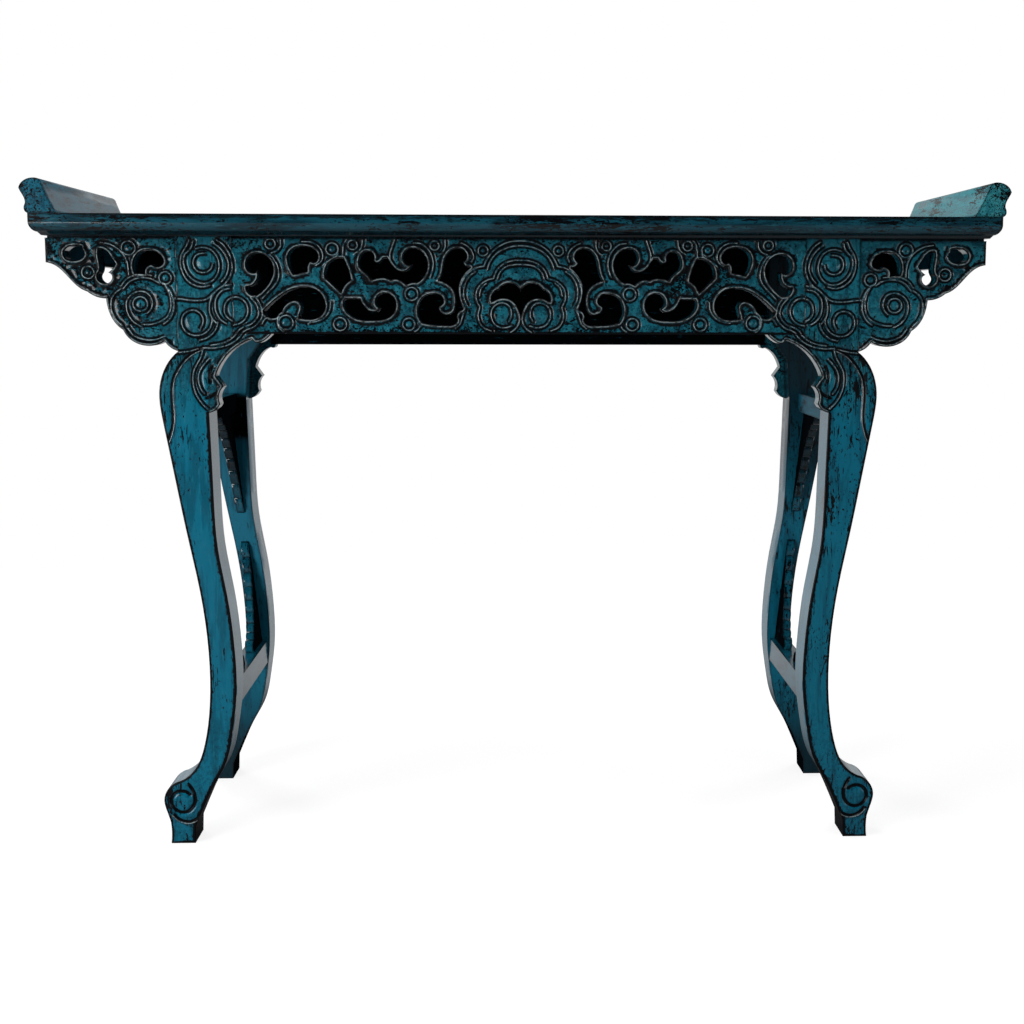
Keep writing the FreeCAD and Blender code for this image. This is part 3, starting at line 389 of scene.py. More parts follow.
def carve(node, edge_kind):
    """A carved copy of a CAD board: its face in the carved plane gets ridges, grooves and worn edges."""
    source = nodes[node].data
    work = bmesh.new()
    work.from_mesh(source)
    bmesh.ops.remove_doubles(work, verts=work.verts, dist=SAME_PLACE)
    work.faces.ensure_lookup_table()

    def in_face(face):
        level = all(abs(v.co.y - FACE_Y * MM) < SLACK for v in face.verts)
        return face.normal.y < FRONT_NORMAL and level

    def border():
        return [e for e in work.edges if sum(in_face(f) for f in e.link_faces) == 1]

    by_count = {}
    for edge in border():
        by_count.setdefault(int(edge.calc_length() / MM / EDGE_STEP), []).append(edge)
    for count, edges in by_count.items():
        if count:
            bmesh.ops.subdivide_edges(work, edges=edges, cuts=count)
    bmesh.ops.triangulate(work, faces=[f for f in work.faces if len(f.verts) > 3])
    work.verts.index_update()
    loops = walk_loops(border())
    plans = [np.array([(v.co.x / MM, v.co.z / MM) for v in loop]) for loop in loops]
    areas = []
    for x, z in [plan.T for plan in plans]:
        areas.append(abs(np.sum(x * np.roll(z, -1) - np.roll(x, -1) * z)))
    outer = int(np.argmax(areas))
    old_faces = [f for f in work.faces if in_face(f)]
    bmesh.ops.delete(work, geom=old_faces, context="FACES_ONLY")

    every = np.concatenate(plans)
    wall_tree = tree_of(every)
    kinds = []
    for index, plan in enumerate(plans):
        kinds += [edge_kind(abs(x), z) if index == outer else "rim" for x, z in plan]
    rims = [p for p, kind in zip(every, kinds) if kind == "rim"]
    rim_tree = tree_of(rims) if rims else None
    low, high = every.min(0) - MARGIN, every.max(0) + MARGIN
    ridges = Strokes(RIDGE_LINES, low, high)
    step_ridges = Strokes(STEP_LINES, low, high)
    cuts = Strokes(CUT_LINES, low, high)

    batches = []
    drawn = ridges.lines + step_ridges.lines + cuts.lines
    steps = [spaced(line, LINE_STEP) for line, side in drawn]
    rounds = [spaced(np.vstack([plan, plan[:1]]), LINE_STEP)[:-1] for plan in plans]
    for distance in OFFSETS:
        sides = (distance, -distance) if distance else (0.0,)
        if distance:
            beside = [p for loop in rounds for p in offset_points(loop, sides, True)]
            batches.append((np.concatenate(beside), distance * EDGE_ROOM))
        if steps:
            beside = [p for line in steps for p in offset_points(line, sides)]
            batches.append((np.concatenate(beside), LINE_ROOM))
    columns = np.arange(low[0], high[0], GRID)
    rows = np.arange(low[1], high[1], GRID * GRID_ROW)
    shifts = [GRID / 2 if j % 2 else 0 for j in range(len(rows))]
    grid = np.array([(a + shift, b) for shift, b in zip(shifts, rows) for a in columns])
    batches = [(points[inside(points, plans)], room) for points, room in batches]
    inner = thinned(batches, GAP, wall_tree)
    fill = grid[inside(grid, plans)]
    near = tree_of(np.vstack([inner, every]))
    fill = fill[distances(fill, near) > GRID * GRID_ROOM] if len(fill) else fill
    inner = np.vstack([inner, fill]) if len(fill) else inner

    flat = [Vector(p) for p in np.vstack([every, inner])]
    fixed = []
    start = 0
    for plan in plans:
        count = len(plan)
        fixed += [(start + i, start + (i + 1) % count) for i in range(count)]
        start += count
    triangulation = delaunay_2d_cdt(flat, fixed, [], TO_HULL, SAME_POINT)
    points, _, faces, from_points, _, _ = triangulation
    origin = [group[0] if group else None for group in from_points]
    centres = np.array([np.mean([points[i] for i in face], axis=0) for face in faces])
    keep = inside(centres, plans)

    found = [wall_tree.find((a, b, 0)) for a, b in inner]
    inner_edge = np.array([hit[2] for hit in found])
    inner_drop = np.array([DROP[kinds[hit[1]]] for hit in found])
    inner_shade = np.array([SHADE[kinds[hit[1]]] for hit in found])
    inner_reach = np.array([EDGE_SHADE[kinds[hit[1]]] for hit in found])
    inner_rim = distances(inner, rim_tree) if rim_tree else np.full(len(inner), FAR)
    line_away, _ = ridges.away(inner)
    step_away, step_side = step_ridges.away(inner)
    cut_away, _ = cuts.away(inner)
    away = np.minimum(line_away, np.abs(inner_rim - RIM_INSET))
    ridge = np.exp(-(np.minimum(away, step_away) / RIDGE_WIDTH) ** 2)
    groove = np.exp(-((away - GROOVE_OFFSET) / GROOVE_WIDTH) ** 2)
    step_groove = np.exp(-((step_away - GROOVE_OFFSET) / STEP_GROOVE_WIDTH) ** 2) * step_side
    groove = np.maximum(groove, step_groove)
    cut = np.exp(-(cut_away / CUT_WIDTH) ** 2)
    rounding = np.clip(1 - inner_edge / EDGE_ROUND, 0, 1) ** 2
    height = RIDGE * ridge - np.maximum(GROOVE * groove, CUT * cut) - inner_drop * rounding
    height += HAND_WORK * hand_noise(inner)
    for a, b, radius, rise in DOMES:
        share = np.hypot(np.abs(inner[:, 0]) - a, inner[:, 1] - b) / radius
        height += rise * np.clip(1 - share ** 2, 0, 1)
    groove = np.maximum(groove, cut)
    edge_shade = np.exp(-(inner_edge / inner_reach) ** 2) * inner_shade

    verts = [v for loop in loops for v in loop]
    levels = [-DROP[kind] for kind in kinds] + list(height)
    # The groove mark paints grooves and cuts black as painted shade, and worn edges black
    grooves = [SHADE[kind] for kind in kinds] + list(np.maximum(groove, edge_shade))
    crests = [0.0] * len(verts) + list(ridge)
    shores = [SHADE[kind] for kind in kinds] + list(np.exp(-inner_edge / FLECK_REACH) * inner_shade)
    made = {}

    def vertex(index):
        own = origin[index]
        if own is None:
            own = -1 - index
        if own not in made:
            if 0 <= own < len(verts):
                made[own] = verts[own]
                verts[own].co.y = (FACE_Y - levels[own]) * MM
            else:
                a, b = points[index]
                level = levels[own] if own >= 0 else 0.0
                made[own] = work.verts.new((a * MM, (FACE_Y - level) * MM, b * MM))
        return made[own], own

    groove_layer = work.loops.layers.float.new("groove")
    crest_layer = work.loops.layers.float.new("crest")
    shore_layer = work.loops.layers.float.new("shore")
    # Painted shade: the walls of the openings are painted black through the groove mark
    hole_verts = {v for i, loop in enumerate(loops) if i != outer for v in loop}
    for face in work.faces:
        in_hole = any(v in hole_verts for v in face.verts)
        for corner in face.loops:
            corner[groove_layer] = 1.0 if in_hole else 0.0
    cap = set()
    for face, wanted in zip(faces, keep):
        if not wanted:
            continue
        corners = [vertex(i) for i in face]
        a, b, c = [Vector(points[i]) for i in face[:3]]
        if (b - a).cross(c - a) < 0:
            corners.reverse()
        try:
            new = work.faces.new([v for v, own in corners])
        except ValueError:
            continue
        cap.add(new)
        for corner, (v, own) in zip(new.loops, corners):
            corner[groove_layer] = grooves[own] if own >= 0 else 0.0
            corner[crest_layer] = crests[own] if own >= 0 else 0.0
            corner[shore_layer] = shores[own] if own >= 0 else 0.0
    work.normal_update()
    for face in work.faces:
        face.smooth = True
    for edge in work.edges:
        both = list(edge.link_faces)
        if len(both) == 2 and not (both[0] in cap and both[1] in cap):
            edge.smooth = edge.calc_face_angle(0.0) < SHARP
    mesh = bpy.data.meshes.new(node + "_carved")
    work.to_mesh(mesh)
    work.free()
    piece = bpy.data.objects.new(node + "_carved", mesh)
    scene.collection.objects.link(piece)
    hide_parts(node)
    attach(piece, "root")
    return piece


# Materials

class Shader:
    """Short calls that add nodes to one material."""

    def __init__(self, name):
        self.material = bpy.data.materials.new(name)
        self.material.use_nodes = True
        self.tree = self.material.node_tree
        self.tree.nodes.clear()

    def put(self, value, socket):
        """Link a socket to another one, or set its value."""
        if isinstance(value, bpy.types.NodeSocket):
            self.tree.links.new(value, socket)
        else:
            socket.default_value = value

    def node(self, kind, inputs=None, **settings):
        made = self.tree.nodes.new(kind)
        for key, value in settings.items():
            setattr(made, key, value)
        for key, value in (inputs or {}).items():
            self.put(value, made.inputs[key])
        return made

    def math(self, operation, first, second=0.0):
        made = self.node("ShaderNodeMath", {0: first, 1: second}, operation=operation)
        return made.outputs[0]

    def times(self, first, second):
        return self.math("MULTIPLY", first, second)

    def plus(self, first, second):
        return self.math("ADD", first, second)

    def minus(self, first, second):
        return self.math("SUBTRACT", first, second)

    def larger(self, first, second):
        return self.math("MAXIMUM", first, second)

    def dot(self, first, second):
        made = self.node("ShaderNodeVectorMath", {0: first, 1: second}, operation="DOT_PRODUCT")
        return made.outputs["Value"]

    def ramp(self, value, start, end):
        """0 below start, 1 above end, smooth between. The other way round where end is below start."""
        made = self.node(
            "ShaderNodeMapRange",
            {"Value": value, "From Min": start, "From Max": end},
            interpolation_type="SMOOTHSTEP",
        )
        return made.outputs["Result"]

    def noise(self, where, scale, detail, roughness, distortion=0.0):
        inputs = {"Vector": where, "Scale": scale, "Detail": detail, "Roughness": roughness}
        made = self.node("ShaderNodeTexNoise", {**inputs, "Distortion": distortion})
        return made.outputs["Fac"]

    def attribute(self, name):
        return self.node("ShaderNodeAttribute", attribute_name=name).outputs["Fac"]

    def mix(self, share, first, second):
        made = self.node("ShaderNodeMix", data_type="RGBA")
        for name, value in (("Factor", share), ("A", first), ("B", second)):
            matches = [s for s in made.inputs if s.name == name and s.enabled]
            self.put(value, matches[0])
        return [s for s in made.outputs if s.enabled][0]


# Deep, main and light tone of each lacquer
LEG_TONES = srgb(4, 76, 97), srgb(6, 94, 118), srgb(24, 108, 128)
CARVED_TONES = srgb(14, 66, 80), srgb(24, 94, 110), srgb(58, 118, 126)
RAIL_TONES = srgb(7, 39, 50), srgb(15, 65, 79), srgb(39, 98, 107)
PANEL_TONES = srgb(8, 58, 75), srgb(12, 80, 100), srgb(32, 104, 118)
# painted light: lighter tones for the right raised end, for the key lamp's light on it
RIGHT_END_LIT_TONES = srgb(30, 100, 111), srgb(42, 122, 132), srgb(78, 146, 150)
# painted highlight: the light grey laid along the crests of the carving
CREST_HIGHLIGHT = srgb(140, 157, 161)
BLACK = srgb(5, 7, 10)
GLOSS = 0.4  # specular level of the lacquer
ROUGH, ROUGH_GRAIN = 0.07, 0.18  # its roughness, and how much the grain adds
ROUGH_CREST, ROUGH_MATT = 0.05, 0.5  # what a ridge and what a matt place add
COAT_ROUGH = 0.1
BUMP, BUMP_DEPTH = 0.25, 0.001  # strength, and depth in metres

# Stretch of the noise along the grain, for streaks and for specks
GRAIN = {
    "x": (1.0, 7.0, 7.0),
    "y": (7.0, 1.0, 7.0),
    "z": (7.0, 7.0, 1.0),
    "carved": (3.4, 4.2, 4.2),
}
SHORT_GRAIN = {
    "x": (1.0, 2.4, 2.4),
    "y": (2.4, 1.0, 2.4),
    "z": (2.4, 2.4, 1.0),
    "carved": (1.6, 2.0, 2.0),
}

# Noises: scale, detail, roughness and distortion
STREAK_NOISE = 11, 6.0, 0.6, 0.4
FINE_NOISE = 46, 5.0, 0.65
FLECK_NOISE = 27, 5.0, 0.62, 0.7
SPECK_NOISE = 170, 3.0, 0.6, 0.3
PATCH_NOISE = 8, 5.0, 0.62
GRIT_NOISE = 520, 3.0, 0.6
MOTTLE_NOISE = 250, 4.0, 0.7
NOISE_MIDDLE = 0.5

# Heights between which a change sets in, in metres
KNEE = 0.56, 0.69  # a leg passes into its carved block
KNEE_WORN = 0.45, 0.60  # it is flecked more upwards
FOOT_WORN = 0.24, 0.09  # and downwards
FOOT_INSIDE_SHADE = 0.16, 0.08  # painted shade: the inner side of a foot turns black
REAR_FOOT_BLACK = 0.18, 0.03  # the rear legs turn black downwards
LEFT_LEG_SHADOW = 0.54, 0.78  # painted shadow: the left rear leg turns black upwards too
# painted shadow: the right rear leg turns black over a lower span
RIGHT_LEG_SHADOW = 0.36, 0.63
FRAME_SHADOW = 0.42, 0.50  # painted shadow of the side rail: the spandrels turn black upwards
UNDER_TOP_SHADE_AND_WEAR = 0.800, 0.823  # painted shade: the carving is darker under the top, and flecked more
MOULDING_FOOT_SHADE = 0.840, 0.830  # painted shade: the moulded edge of the top is darker downwards
MOULDING_ARRIS = 0.8475, 0.852  # and black upwards
REAR_LEFT_SHADOW = (0.54, 0.595), (0.70, 0.90)  # painted shadow: where the left rear leg is painted black in front
REAR_LEFT_SHADOW_FADE = 0.012  # over which that fades

# Distances from the middle between which the black arris begins, in metres
MOULDING_END = 0.60, 0.57

# Parts of a normal between which a face counts as turned that way
TO_FRONT = -0.6, -0.9
TO_END = 0.6, 0.9
TO_INSIDE = -0.2, -0.6
TO_SHADE_SIDE = 0.6, 0.85
NOT_OUT = 0.7, 0.3
NOT_UP = 0.75, 0.5

# Values of a noise or of a mask between which a mark sets in
MAIN_AT = 0.38, 0.54
LIGHT_AT = 0.54, 0.74
FLECK_AT = 0.60, 0.645
SPECK_AT = 0.62, 0.665
MOTTLE_AT = 0.47, 0.58
DULL_AT = 0.36, 0.64
EDGE_AT = 0.008, 0.10
RUBBED_AT = 0.76, 0.88
HOLLOW_AT = 0.22, 0.50
RAISED_AT = 0.25, 0.7
CREST_AT = 0.5, 0.95
CREST_BROKEN_AT = 0.40, 0.58
SIDE_SHADE_BROKEN_AT = 0.75, 0.62

# How strong a mark is
LIGHT = 0.6
PATCHY = 0.6  # flecks differ from place to place
SHORE_FLECKS, KNEE_FLECKS, UNDER_TOP_FLECKS, FOOT_FLECKS = 0.10, 0.06, 0.03, 0.03
FOOT_WEAR = 0.6  # wear of a carved foot, as a share of that of a carved block
MOTTLE = 0.55
# share of the painted shade under the top
UNDER_TOP_SHADE = 0.4
# share of the black spans: painted shadow, and the blackened rear feet
BLACKENED_SHARE = 0.85
MOULDING_SHADE, ARRIS_SHADE = 0.75, 0.85
MOULDING_RAGGED = 0.028  # metres
RUBBED_FINE, RUBBED_SPECK = 0.6, 0.4  # what breaks up a rubbed edge
GROOVE_RAGGED = 0.9
EDGE_RADIUS = 0.005  # how near to an edge the lacquer is rubbed, metres
DULL_STREAKS, DULL_END, DULL_HOLLOW, DULL_FRONT = 0.3, 0.7, 0.75, 0.6
FLAT_DULL = 0.58  # carved flats are duller than ridges
# share of the painted highlight on crests
CREST_HIGHLIGHT_SHARE = 0.72
BUMP_FINE, BUMP_STREAK, BUMP_WORN, BUMP_GRIT = 0.3, 0.5, 0.03, 0.03


def lacquer(name, grain, tones, wear=0.0, specks=0.0, edges=0.6, coat=0.0, top_tones=None,
            shade_side=None, shade_spans=(), carved=False, moulded=False, black_spans=(), leg=False,
            mottled=False, dull_ends=False):
    """Glossy teal lacquer over black, with streaks, flecks, specks and rubbed edges along the grain.

    Top tones take over towards the carved block of a leg, with more wear. A shade side is the
    direction of faces painted matt black as shade inside the table, within spans of height if they
    are given. Carved faces have shiny ridges with a painted highlight along their crests, dull
    grooves painted black as shade, and painted shade with more flecks under the top. A moulded edge
    is black along its upper arris and has painted shade towards its foot. Black spans are pairs of
    heights between which the lacquer turns black, but for faces that look outwards or back: painted
    shadow on the rear legs and the spandrels, and blackened rear feet. A leg has painted shade in
    black on the inner side of its foot, and a plain leg is dull in front. Mottled lacquer is dull in
    streaks. Dull ends are faces turned to the ends of the table."""
    s = Shader(name)
    deep, main, light = tones
    where = s.node("ShaderNodeTexCoord").outputs["Object"]
    place = s.node("ShaderNodeSeparateXYZ", {0: where})
    height = place.outputs["Z"]
    along = s.node("ShaderNodeMapping", {"Vector": where, "Scale": GRAIN[grain]}).outputs["Vector"]
    short = s.node("ShaderNodeMapping", {"Vector": where, "Scale": SHORT_GRAIN[grain]}).outputs["Vector"]
    streak = s.noise(along, *STREAK_NOISE)
    fine = s.noise(along, *FINE_NOISE)
    fleck = s.noise(along, *FLECK_NOISE)
    speck = s.noise(short, *SPECK_NOISE)
    patch = s.noise(where, *PATCH_NOISE)
    grit = s.noise(where, *GRIT_NOISE)
    groove = s.attribute("groove")
    crest = s.attribute("crest")
    shore = s.attribute("shore")
    true_normal = s.node("ShaderNodeNewGeometry").outputs["Normal"]
    facing = s.node("ShaderNodeSeparateXYZ", {0: true_normal})
    outward = s.times(s.math("SIGN", place.outputs["X"]), facing.outputs["X"])

    tone = s.ramp(streak, *MAIN_AT)
    sheen = s.times(s.ramp(fine, *LIGHT_AT), LIGHT)
    base = s.mix(sheen, s.mix(tone, deep, main), light)
    spread = s.times(s.minus(patch, NOISE_MIDDLE - wear), PATCHY)
    spread = s.plus(spread, s.times(shore, SHORE_FLECKS))
    if top_tones:
        top_deep, top_main, top_light = top_tones
        knee = s.ramp(height, *KNEE)
        base = s.mix(knee, base, s.mix(sheen, s.mix(tone, top_deep, top_main), top_light))
        spread = s.plus(spread, s.times(s.ramp(height, *KNEE_WORN), KNEE_FLECKS))
    if carved:
        # Painted shade under the top rail, with more flecks there
        under_top_shade_and_wear = s.ramp(height, *UNDER_TOP_SHADE_AND_WEAR)
        spread = s.plus(spread, s.times(under_top_shade_and_wear, UNDER_TOP_FLECKS))
        mottle = s.times(s.ramp(s.noise(where, *MOTTLE_NOISE), *MOTTLE_AT), MOTTLE)
        if top_tones:
            worn_foot = s.times(s.ramp(height, *FOOT_WORN), FOOT_WEAR)
            spread = s.plus(spread, s.times(worn_foot, FOOT_FLECKS))
            mottle = s.times(mottle, s.larger(knee, worn_foot))
        base = s.mix(s.larger(s.times(under_top_shade_and_wear, UNDER_TOP_SHADE), mottle), base, BLACK)
    # Black spans: painted shadow on the rear legs and the spandrels, and blackened rear feet
    for clear, black in black_spans:
        turned = s.times(s.ramp(outward, *NOT_OUT), s.ramp(facing.outputs["Y"], *NOT_OUT))
        blackened = s.times(s.ramp(height, clear, black), turned)
        base = s.mix(s.times(blackened, BLACKENED_SHARE), base, BLACK)
    if moulded:
        # Painted shade: the moulded edge darkens towards its foot
        foot = s.ramp(height, *MOULDING_FOOT_SHADE)
        base = s.mix(s.times(foot, MOULDING_SHADE), base, BLACK)
    flecks = s.ramp(s.plus(fleck, spread), *FLECK_AT)
    dots = s.ramp(s.plus(speck, spread), *[limit - specks for limit in SPECK_AT])
    worn = s.larger(flecks, dots)

    bevel = s.node("ShaderNodeBevel", {"Radius": EDGE_RADIUS}, samples=4).outputs["Normal"]
    edge = s.ramp(s.minus(1.0, s.dot(bevel, true_normal)), *EDGE_AT)
    breaks = s.plus(s.times(fine, RUBBED_FINE), s.times(speck, RUBBED_SPECK))
    rubbed = s.ramp(s.plus(s.times(edge, edges), breaks), *RUBBED_AT)
    # Painted shade: grooves, cuts and the walls of openings turn black, as do worn edges
    rough_groove = s.plus(groove, s.times(s.minus(speck, NOISE_MIDDLE), GROOVE_RAGGED))
    hollow = s.ramp(rough_groove, *HOLLOW_AT)
    dark = s.larger(worn, s.larger(rubbed, hollow))
    if moulded:
        ragged = s.plus(height, s.times(s.minus(fine, NOISE_MIDDLE), MOULDING_RAGGED))
        upright = s.ramp(facing.outputs["Z"], *NOT_UP)
        free = s.ramp(s.math("ABSOLUTE", place.outputs["X"]), *MOULDING_END)
        arris = s.times(s.ramp(ragged, *MOULDING_ARRIS), s.times(upright, free))
        dark = s.larger(dark, s.times(arris, ARRIS_SHADE))

    gloss = GLOSS
    rough = s.plus(ROUGH, s.times(fine, ROUGH_GRAIN))
    matt = None
    if mottled:
        matt = s.times(s.ramp(streak, *DULL_AT), DULL_STREAKS)
    if dull_ends:
        matt = s.times(s.ramp(s.math("ABSOLUTE", facing.outputs["X"]), *TO_END), DULL_END)
    if carved:
        rough = s.plus(rough, s.times(crest, ROUGH_CREST))
        raised = s.ramp(crest, *RAISED_AT)
        flat = s.times(s.ramp(facing.outputs["Y"], *TO_FRONT), s.minus(1.0, raised))
        matt = s.times(hollow, DULL_HOLLOW)
    # Painted shade: faces turned to the shade side are painted matt black, broken in places
    if shade_side:
        side_shade = s.ramp(s.dot(true_normal, shade_side), *TO_SHADE_SIDE)
        zone = None
        for low, high in shade_spans:
            above = s.ramp(height, low - REAR_LEFT_SHADOW_FADE, low)
            below = s.ramp(height, high + REAR_LEFT_SHADOW_FADE, high)
            span = s.times(above, below)
            zone = s.larger(zone, span) if zone else span
        side_shade = s.times(side_shade, zone) if zone else side_shade
        dark = s.larger(dark, s.times(side_shade, s.ramp(fine, *SIDE_SHADE_BROKEN_AT)))
        matt = s.larger(matt, side_shade) if matt else side_shade
    if leg and not carved:
        front = s.times(s.ramp(facing.outputs["Y"], *TO_FRONT), DULL_FRONT)
        matt = s.larger(matt, front) if matt else front
    if leg:
        # Painted shade: the inner side of a foot is painted black and matt
        under = s.times(s.ramp(outward, *TO_INSIDE), s.ramp(height, *FOOT_INSIDE_SHADE))
        dark = s.larger(dark, under)
        matt = s.larger(matt, under)
    if matt:
        rough = s.plus(rough, s.times(matt, ROUGH_MATT))
        shine = s.minus(1.0, matt)
        if carved:
            shine = s.times(shine, s.minus(1.0, s.times(flat, FLAT_DULL)))
            shine = s.plus(shine, raised)
        gloss = s.times(shine, GLOSS)
    # Painted highlight: the crests of the carving are painted light grey in broken lines
    lit = s.times(s.ramp(crest, *CREST_AT), s.ramp(fine, *CREST_BROKEN_AT))
    colour = s.mix(dark, base, BLACK)
    colour = s.mix(s.times(lit, CREST_HIGHLIGHT_SHARE), colour, CREST_HIGHLIGHT)

    relief = s.plus(s.times(fine, BUMP_FINE), s.times(streak, BUMP_STREAK))
    relief = s.minus(relief, s.times(worn, BUMP_WORN))
    relief = s.plus(relief, s.times(grit, BUMP_GRIT))
    bump = s.node("ShaderNodeBump", {"Height": relief, "Strength": BUMP, "Distance": BUMP_DEPTH})
    shader = s.node(
        "ShaderNodeBsdfPrincipled",
        {
            "Base Color": colour,
            "Roughness": rough,
            "Normal": bump.outputs["Normal"],
            "Specular IOR Level": gloss,
            "Coat Weight": coat,
            "Coat Roughness": COAT_ROUGH,
        },
    )
    s.node("ShaderNodeOutputMaterial", {"Surface": shader.outputs[0]})
    return s.material


INSIDE_BACK = lacquer("lacquer_rear_boards", "x", PANEL_TONES, shade_side=(0, -1, 0))
CARVED_BOARD = lacquer(
    "lacquer_carved_boards", "carved", CARVED_TONES, wear=-0.03, specks=0.04, coat=0.15,
    shade_side=(0, 1, 0), carved=True
)
BRACKET = lacquer(
    "lacquer_brackets", "carved", CARVED_TONES, wear=-0.03, specks=0.03, coat=0.15, carved=True
)
RAIL_X = lacquer(
    "lacquer_long_rails", "x", RAIL_TONES, wear=0.05, specks=0.01, edges=0.8, moulded=True
)
RAIL_Y = lacquer(
    "lacquer_end_rails", "y", RAIL_TONES, wear=0.05, specks=0.01, edges=0.8, moulded=True,
    dull_ends=True
)
BOARD_X = lacquer("lacquer_top_boards", "x", PANEL_TONES, wear=-0.03, shade_side=(0, 0, -1))
STRETCHER = lacquer("lacquer_stretchers", "y", PANEL_TONES)
END_BOARD = lacquer("lacquer_end_boards", "y", PANEL_TONES, dull_ends=True)
LEFT_RAISED_END = lacquer(
    "lacquer_left_raised_end", "y", PANEL_TONES, wear=0.02, specks=0.02, edges=0.9
)
# Painted light: the right raised end is lighter than the left
RIGHT_RAISED_END = lacquer(
    "lacquer_right_raised_end", "y", RIGHT_END_LIT_TONES, wear=0.01, specks=0.02, edges=0.9, mottled=True
)
FRONT_LEG = lacquer(
    "lacquer_front_legs", "z", LEG_TONES, wear=-0.10, edges=0.7, coat=0.1, top_tones=CARVED_TONES,
    carved=True, leg=True
)
REAR_LEFT_LEG = lacquer(
    "lacquer_rear_left_leg", "z", LEG_TONES, wear=-0.05, shade_side=(0, -1, 0), shade_spans=REAR_LEFT_SHADOW,
    black_spans=[REAR_FOOT_BLACK, LEFT_LEG_SHADOW], leg=True
)
REAR_RIGHT_LEG = lacquer(
    "lacquer_rear_right_leg", "z", LEG_TONES, wear=-0.05, black_spans=[REAR_FOOT_BLACK, RIGHT_LEG_SHADOW], leg=True
)
LEFT_FRAME = lacquer(
    "lacquer_left_frame", "z", PANEL_TONES, shade_side=(1, 0, 0), black_spans=[FRAME_SHADOW]
)
RIGHT_FRAME = lacquer(
    "lacquer_right_frame", "z", PANEL_TONES, shade_side=(-1, 0, 0), black_spans=[FRAME_SHADOW]
)
HIDDEN = lacquer("lacquer_hidden_wood", "y", RAIL_TONES, wear=0.15, shade_side=(0, 0, -1))


def material_for(name):
    """The lacquer of a node."""
    if "batten" in name or "pegs" in name:
        return HIDDEN
    if "spandrel" in name or name == "left_upper_side_rail":
        return LEFT_FRAME if "left" in name else RIGHT_FRAME
    if "bracket" in name:
        return BRACKET
    if name in ("rear_apron", "rear_left_wing", "rear_right_wing"):
        return INSIDE_BACK
    if name in ("front_apron", "front_left_wing", "front_right_wing"):
        return CARVED_BOARD
    if name in ("top_front_rail", "top_rear_rail"):
        return RAIL_X
    if name in ("top_left_end_rail", "top_right_end_rail"):
        return RAIL_Y
    if name in ("top_front_board", "top_rear_board"):
        return BOARD_X
    if name == "rear_left_leg":
        return REAR_LEFT_LEG
    if name == "rear_right_leg":
        return REAR_RIGHT_LEG
    if "leg" in name:
        return FRONT_LEG
    if "raised_end" in name:
        return LEFT_RAISED_END if "left" in name else RIGHT_RAISED_END
    if "stretcher" in name:
        return STRETCHER
    return END_BOARD


# Kind of edge at a place on the carved boards: distance from the middle and height, in millimetres
TOP_JOINT = 823.5
APRON_JOINT = 381
WING_JOINT = 455
WING_TIP = 622
KNEE_JOINT = 678.5
BRACKET_FOOT, BRACKET_SIDE = 594, 417
BRACKET_START, BRACKET_TOP = 381.5, 698.6
BRACKET_REACH = [(594, 34.5), (655, 30.5), (699, 0)]  # height, and reach from there to the leg
BRACKET_SLACK = 0.6
LEG_MIDDLE = [(0, 466), (50, 462), (88, 444), (106, 428), (139, 416), (219, 407), (262, 407),
              (360, 418), (429, 430), (508, 439), (580, 446)]  # height, and middle of the leg


def apron_edge(x, z):
    return "joint" if x > APRON_JOINT or z > TOP_JOINT else "edge"


def wing_edge(x, z):
    if x < WING_JOINT or z > TOP_JOINT:
        return "joint"
    return "rim" if x < WING_TIP else "edge"


def leg_edge(x, z):
    if z > KNEE_JOINT or z > BRACKET_FOOT and x < BRACKET_SIDE:
        return "joint"
    return "inner" if x < np.interp(z, *zip(*LEG_MIDDLE)) else "edge"


def bracket_edge(x, z):
    joint = BRACKET_START + np.interp(z, *zip(*BRACKET_REACH))
    return "joint" if x > joint - BRACKET_SLACK or z > BRACKET_TOP else "rim"


CARVED = {
    "front_apron": apron_edge,
    "front_left_wing": wing_edge,
    "front_right_wing": wing_edge,
    "front_left_leg": leg_edge,
    "front_right_leg": leg_edge,
    "front_left_bracket": bracket_edge,
    "front_right_bracket": bracket_edge,
}
for name, edge_kind in CARVED.items():
    piece = carve(name, edge_kind)
    piece.data.materials.append(material_for(name))

# All other boards keep their solids, with narrow rounded edges
WELD_GAP = 1e-5  # corners this near to each other are welded, metres
EDGE_WIDTH = 0.0012  # metres
EDGE_ANGLE = math.radians(40)  # edges that turn more than this are rounded
for name, node in nodes.items():
    if name in CARVED:
        continue
    node.data.materials.clear()
    node.data.materials.append(material_for(name))
    weld = node.modifiers.new("weld", "WELD")
    weld.merge_threshold = WELD_GAP
    bevel = node.modifiers.new("bevel", "BEVEL")
    bevel.width = EDGE_WIDTH
    bevel.segments = 2
    bevel.limit_method = "ANGLE"
    bevel.angle_limit = EDGE_ANGLE
    bevel.harden_normals = True

# Floor, light and camera
WHITE = (1.0, 1.0, 1.0, 1.0)
FLOOR_GREY = (0.22, 0.22, 0.22, 1.0)
FLOOR_RADIUS = 14.0
FLOOR_GLOW = 0.84  # the floor is near white to the camera
FLOOR_WHITE = 1.2, 2.6  # distances from the table between which it turns white
FLOOR_MIRRORED, FLOOR_MIRRORED_BEHIND = 0.1, 0.22  # how bright it is in the gloss, and more behind
FLOOR_BEHIND = 0.2, 1.2  # distances to the back between which that sets in


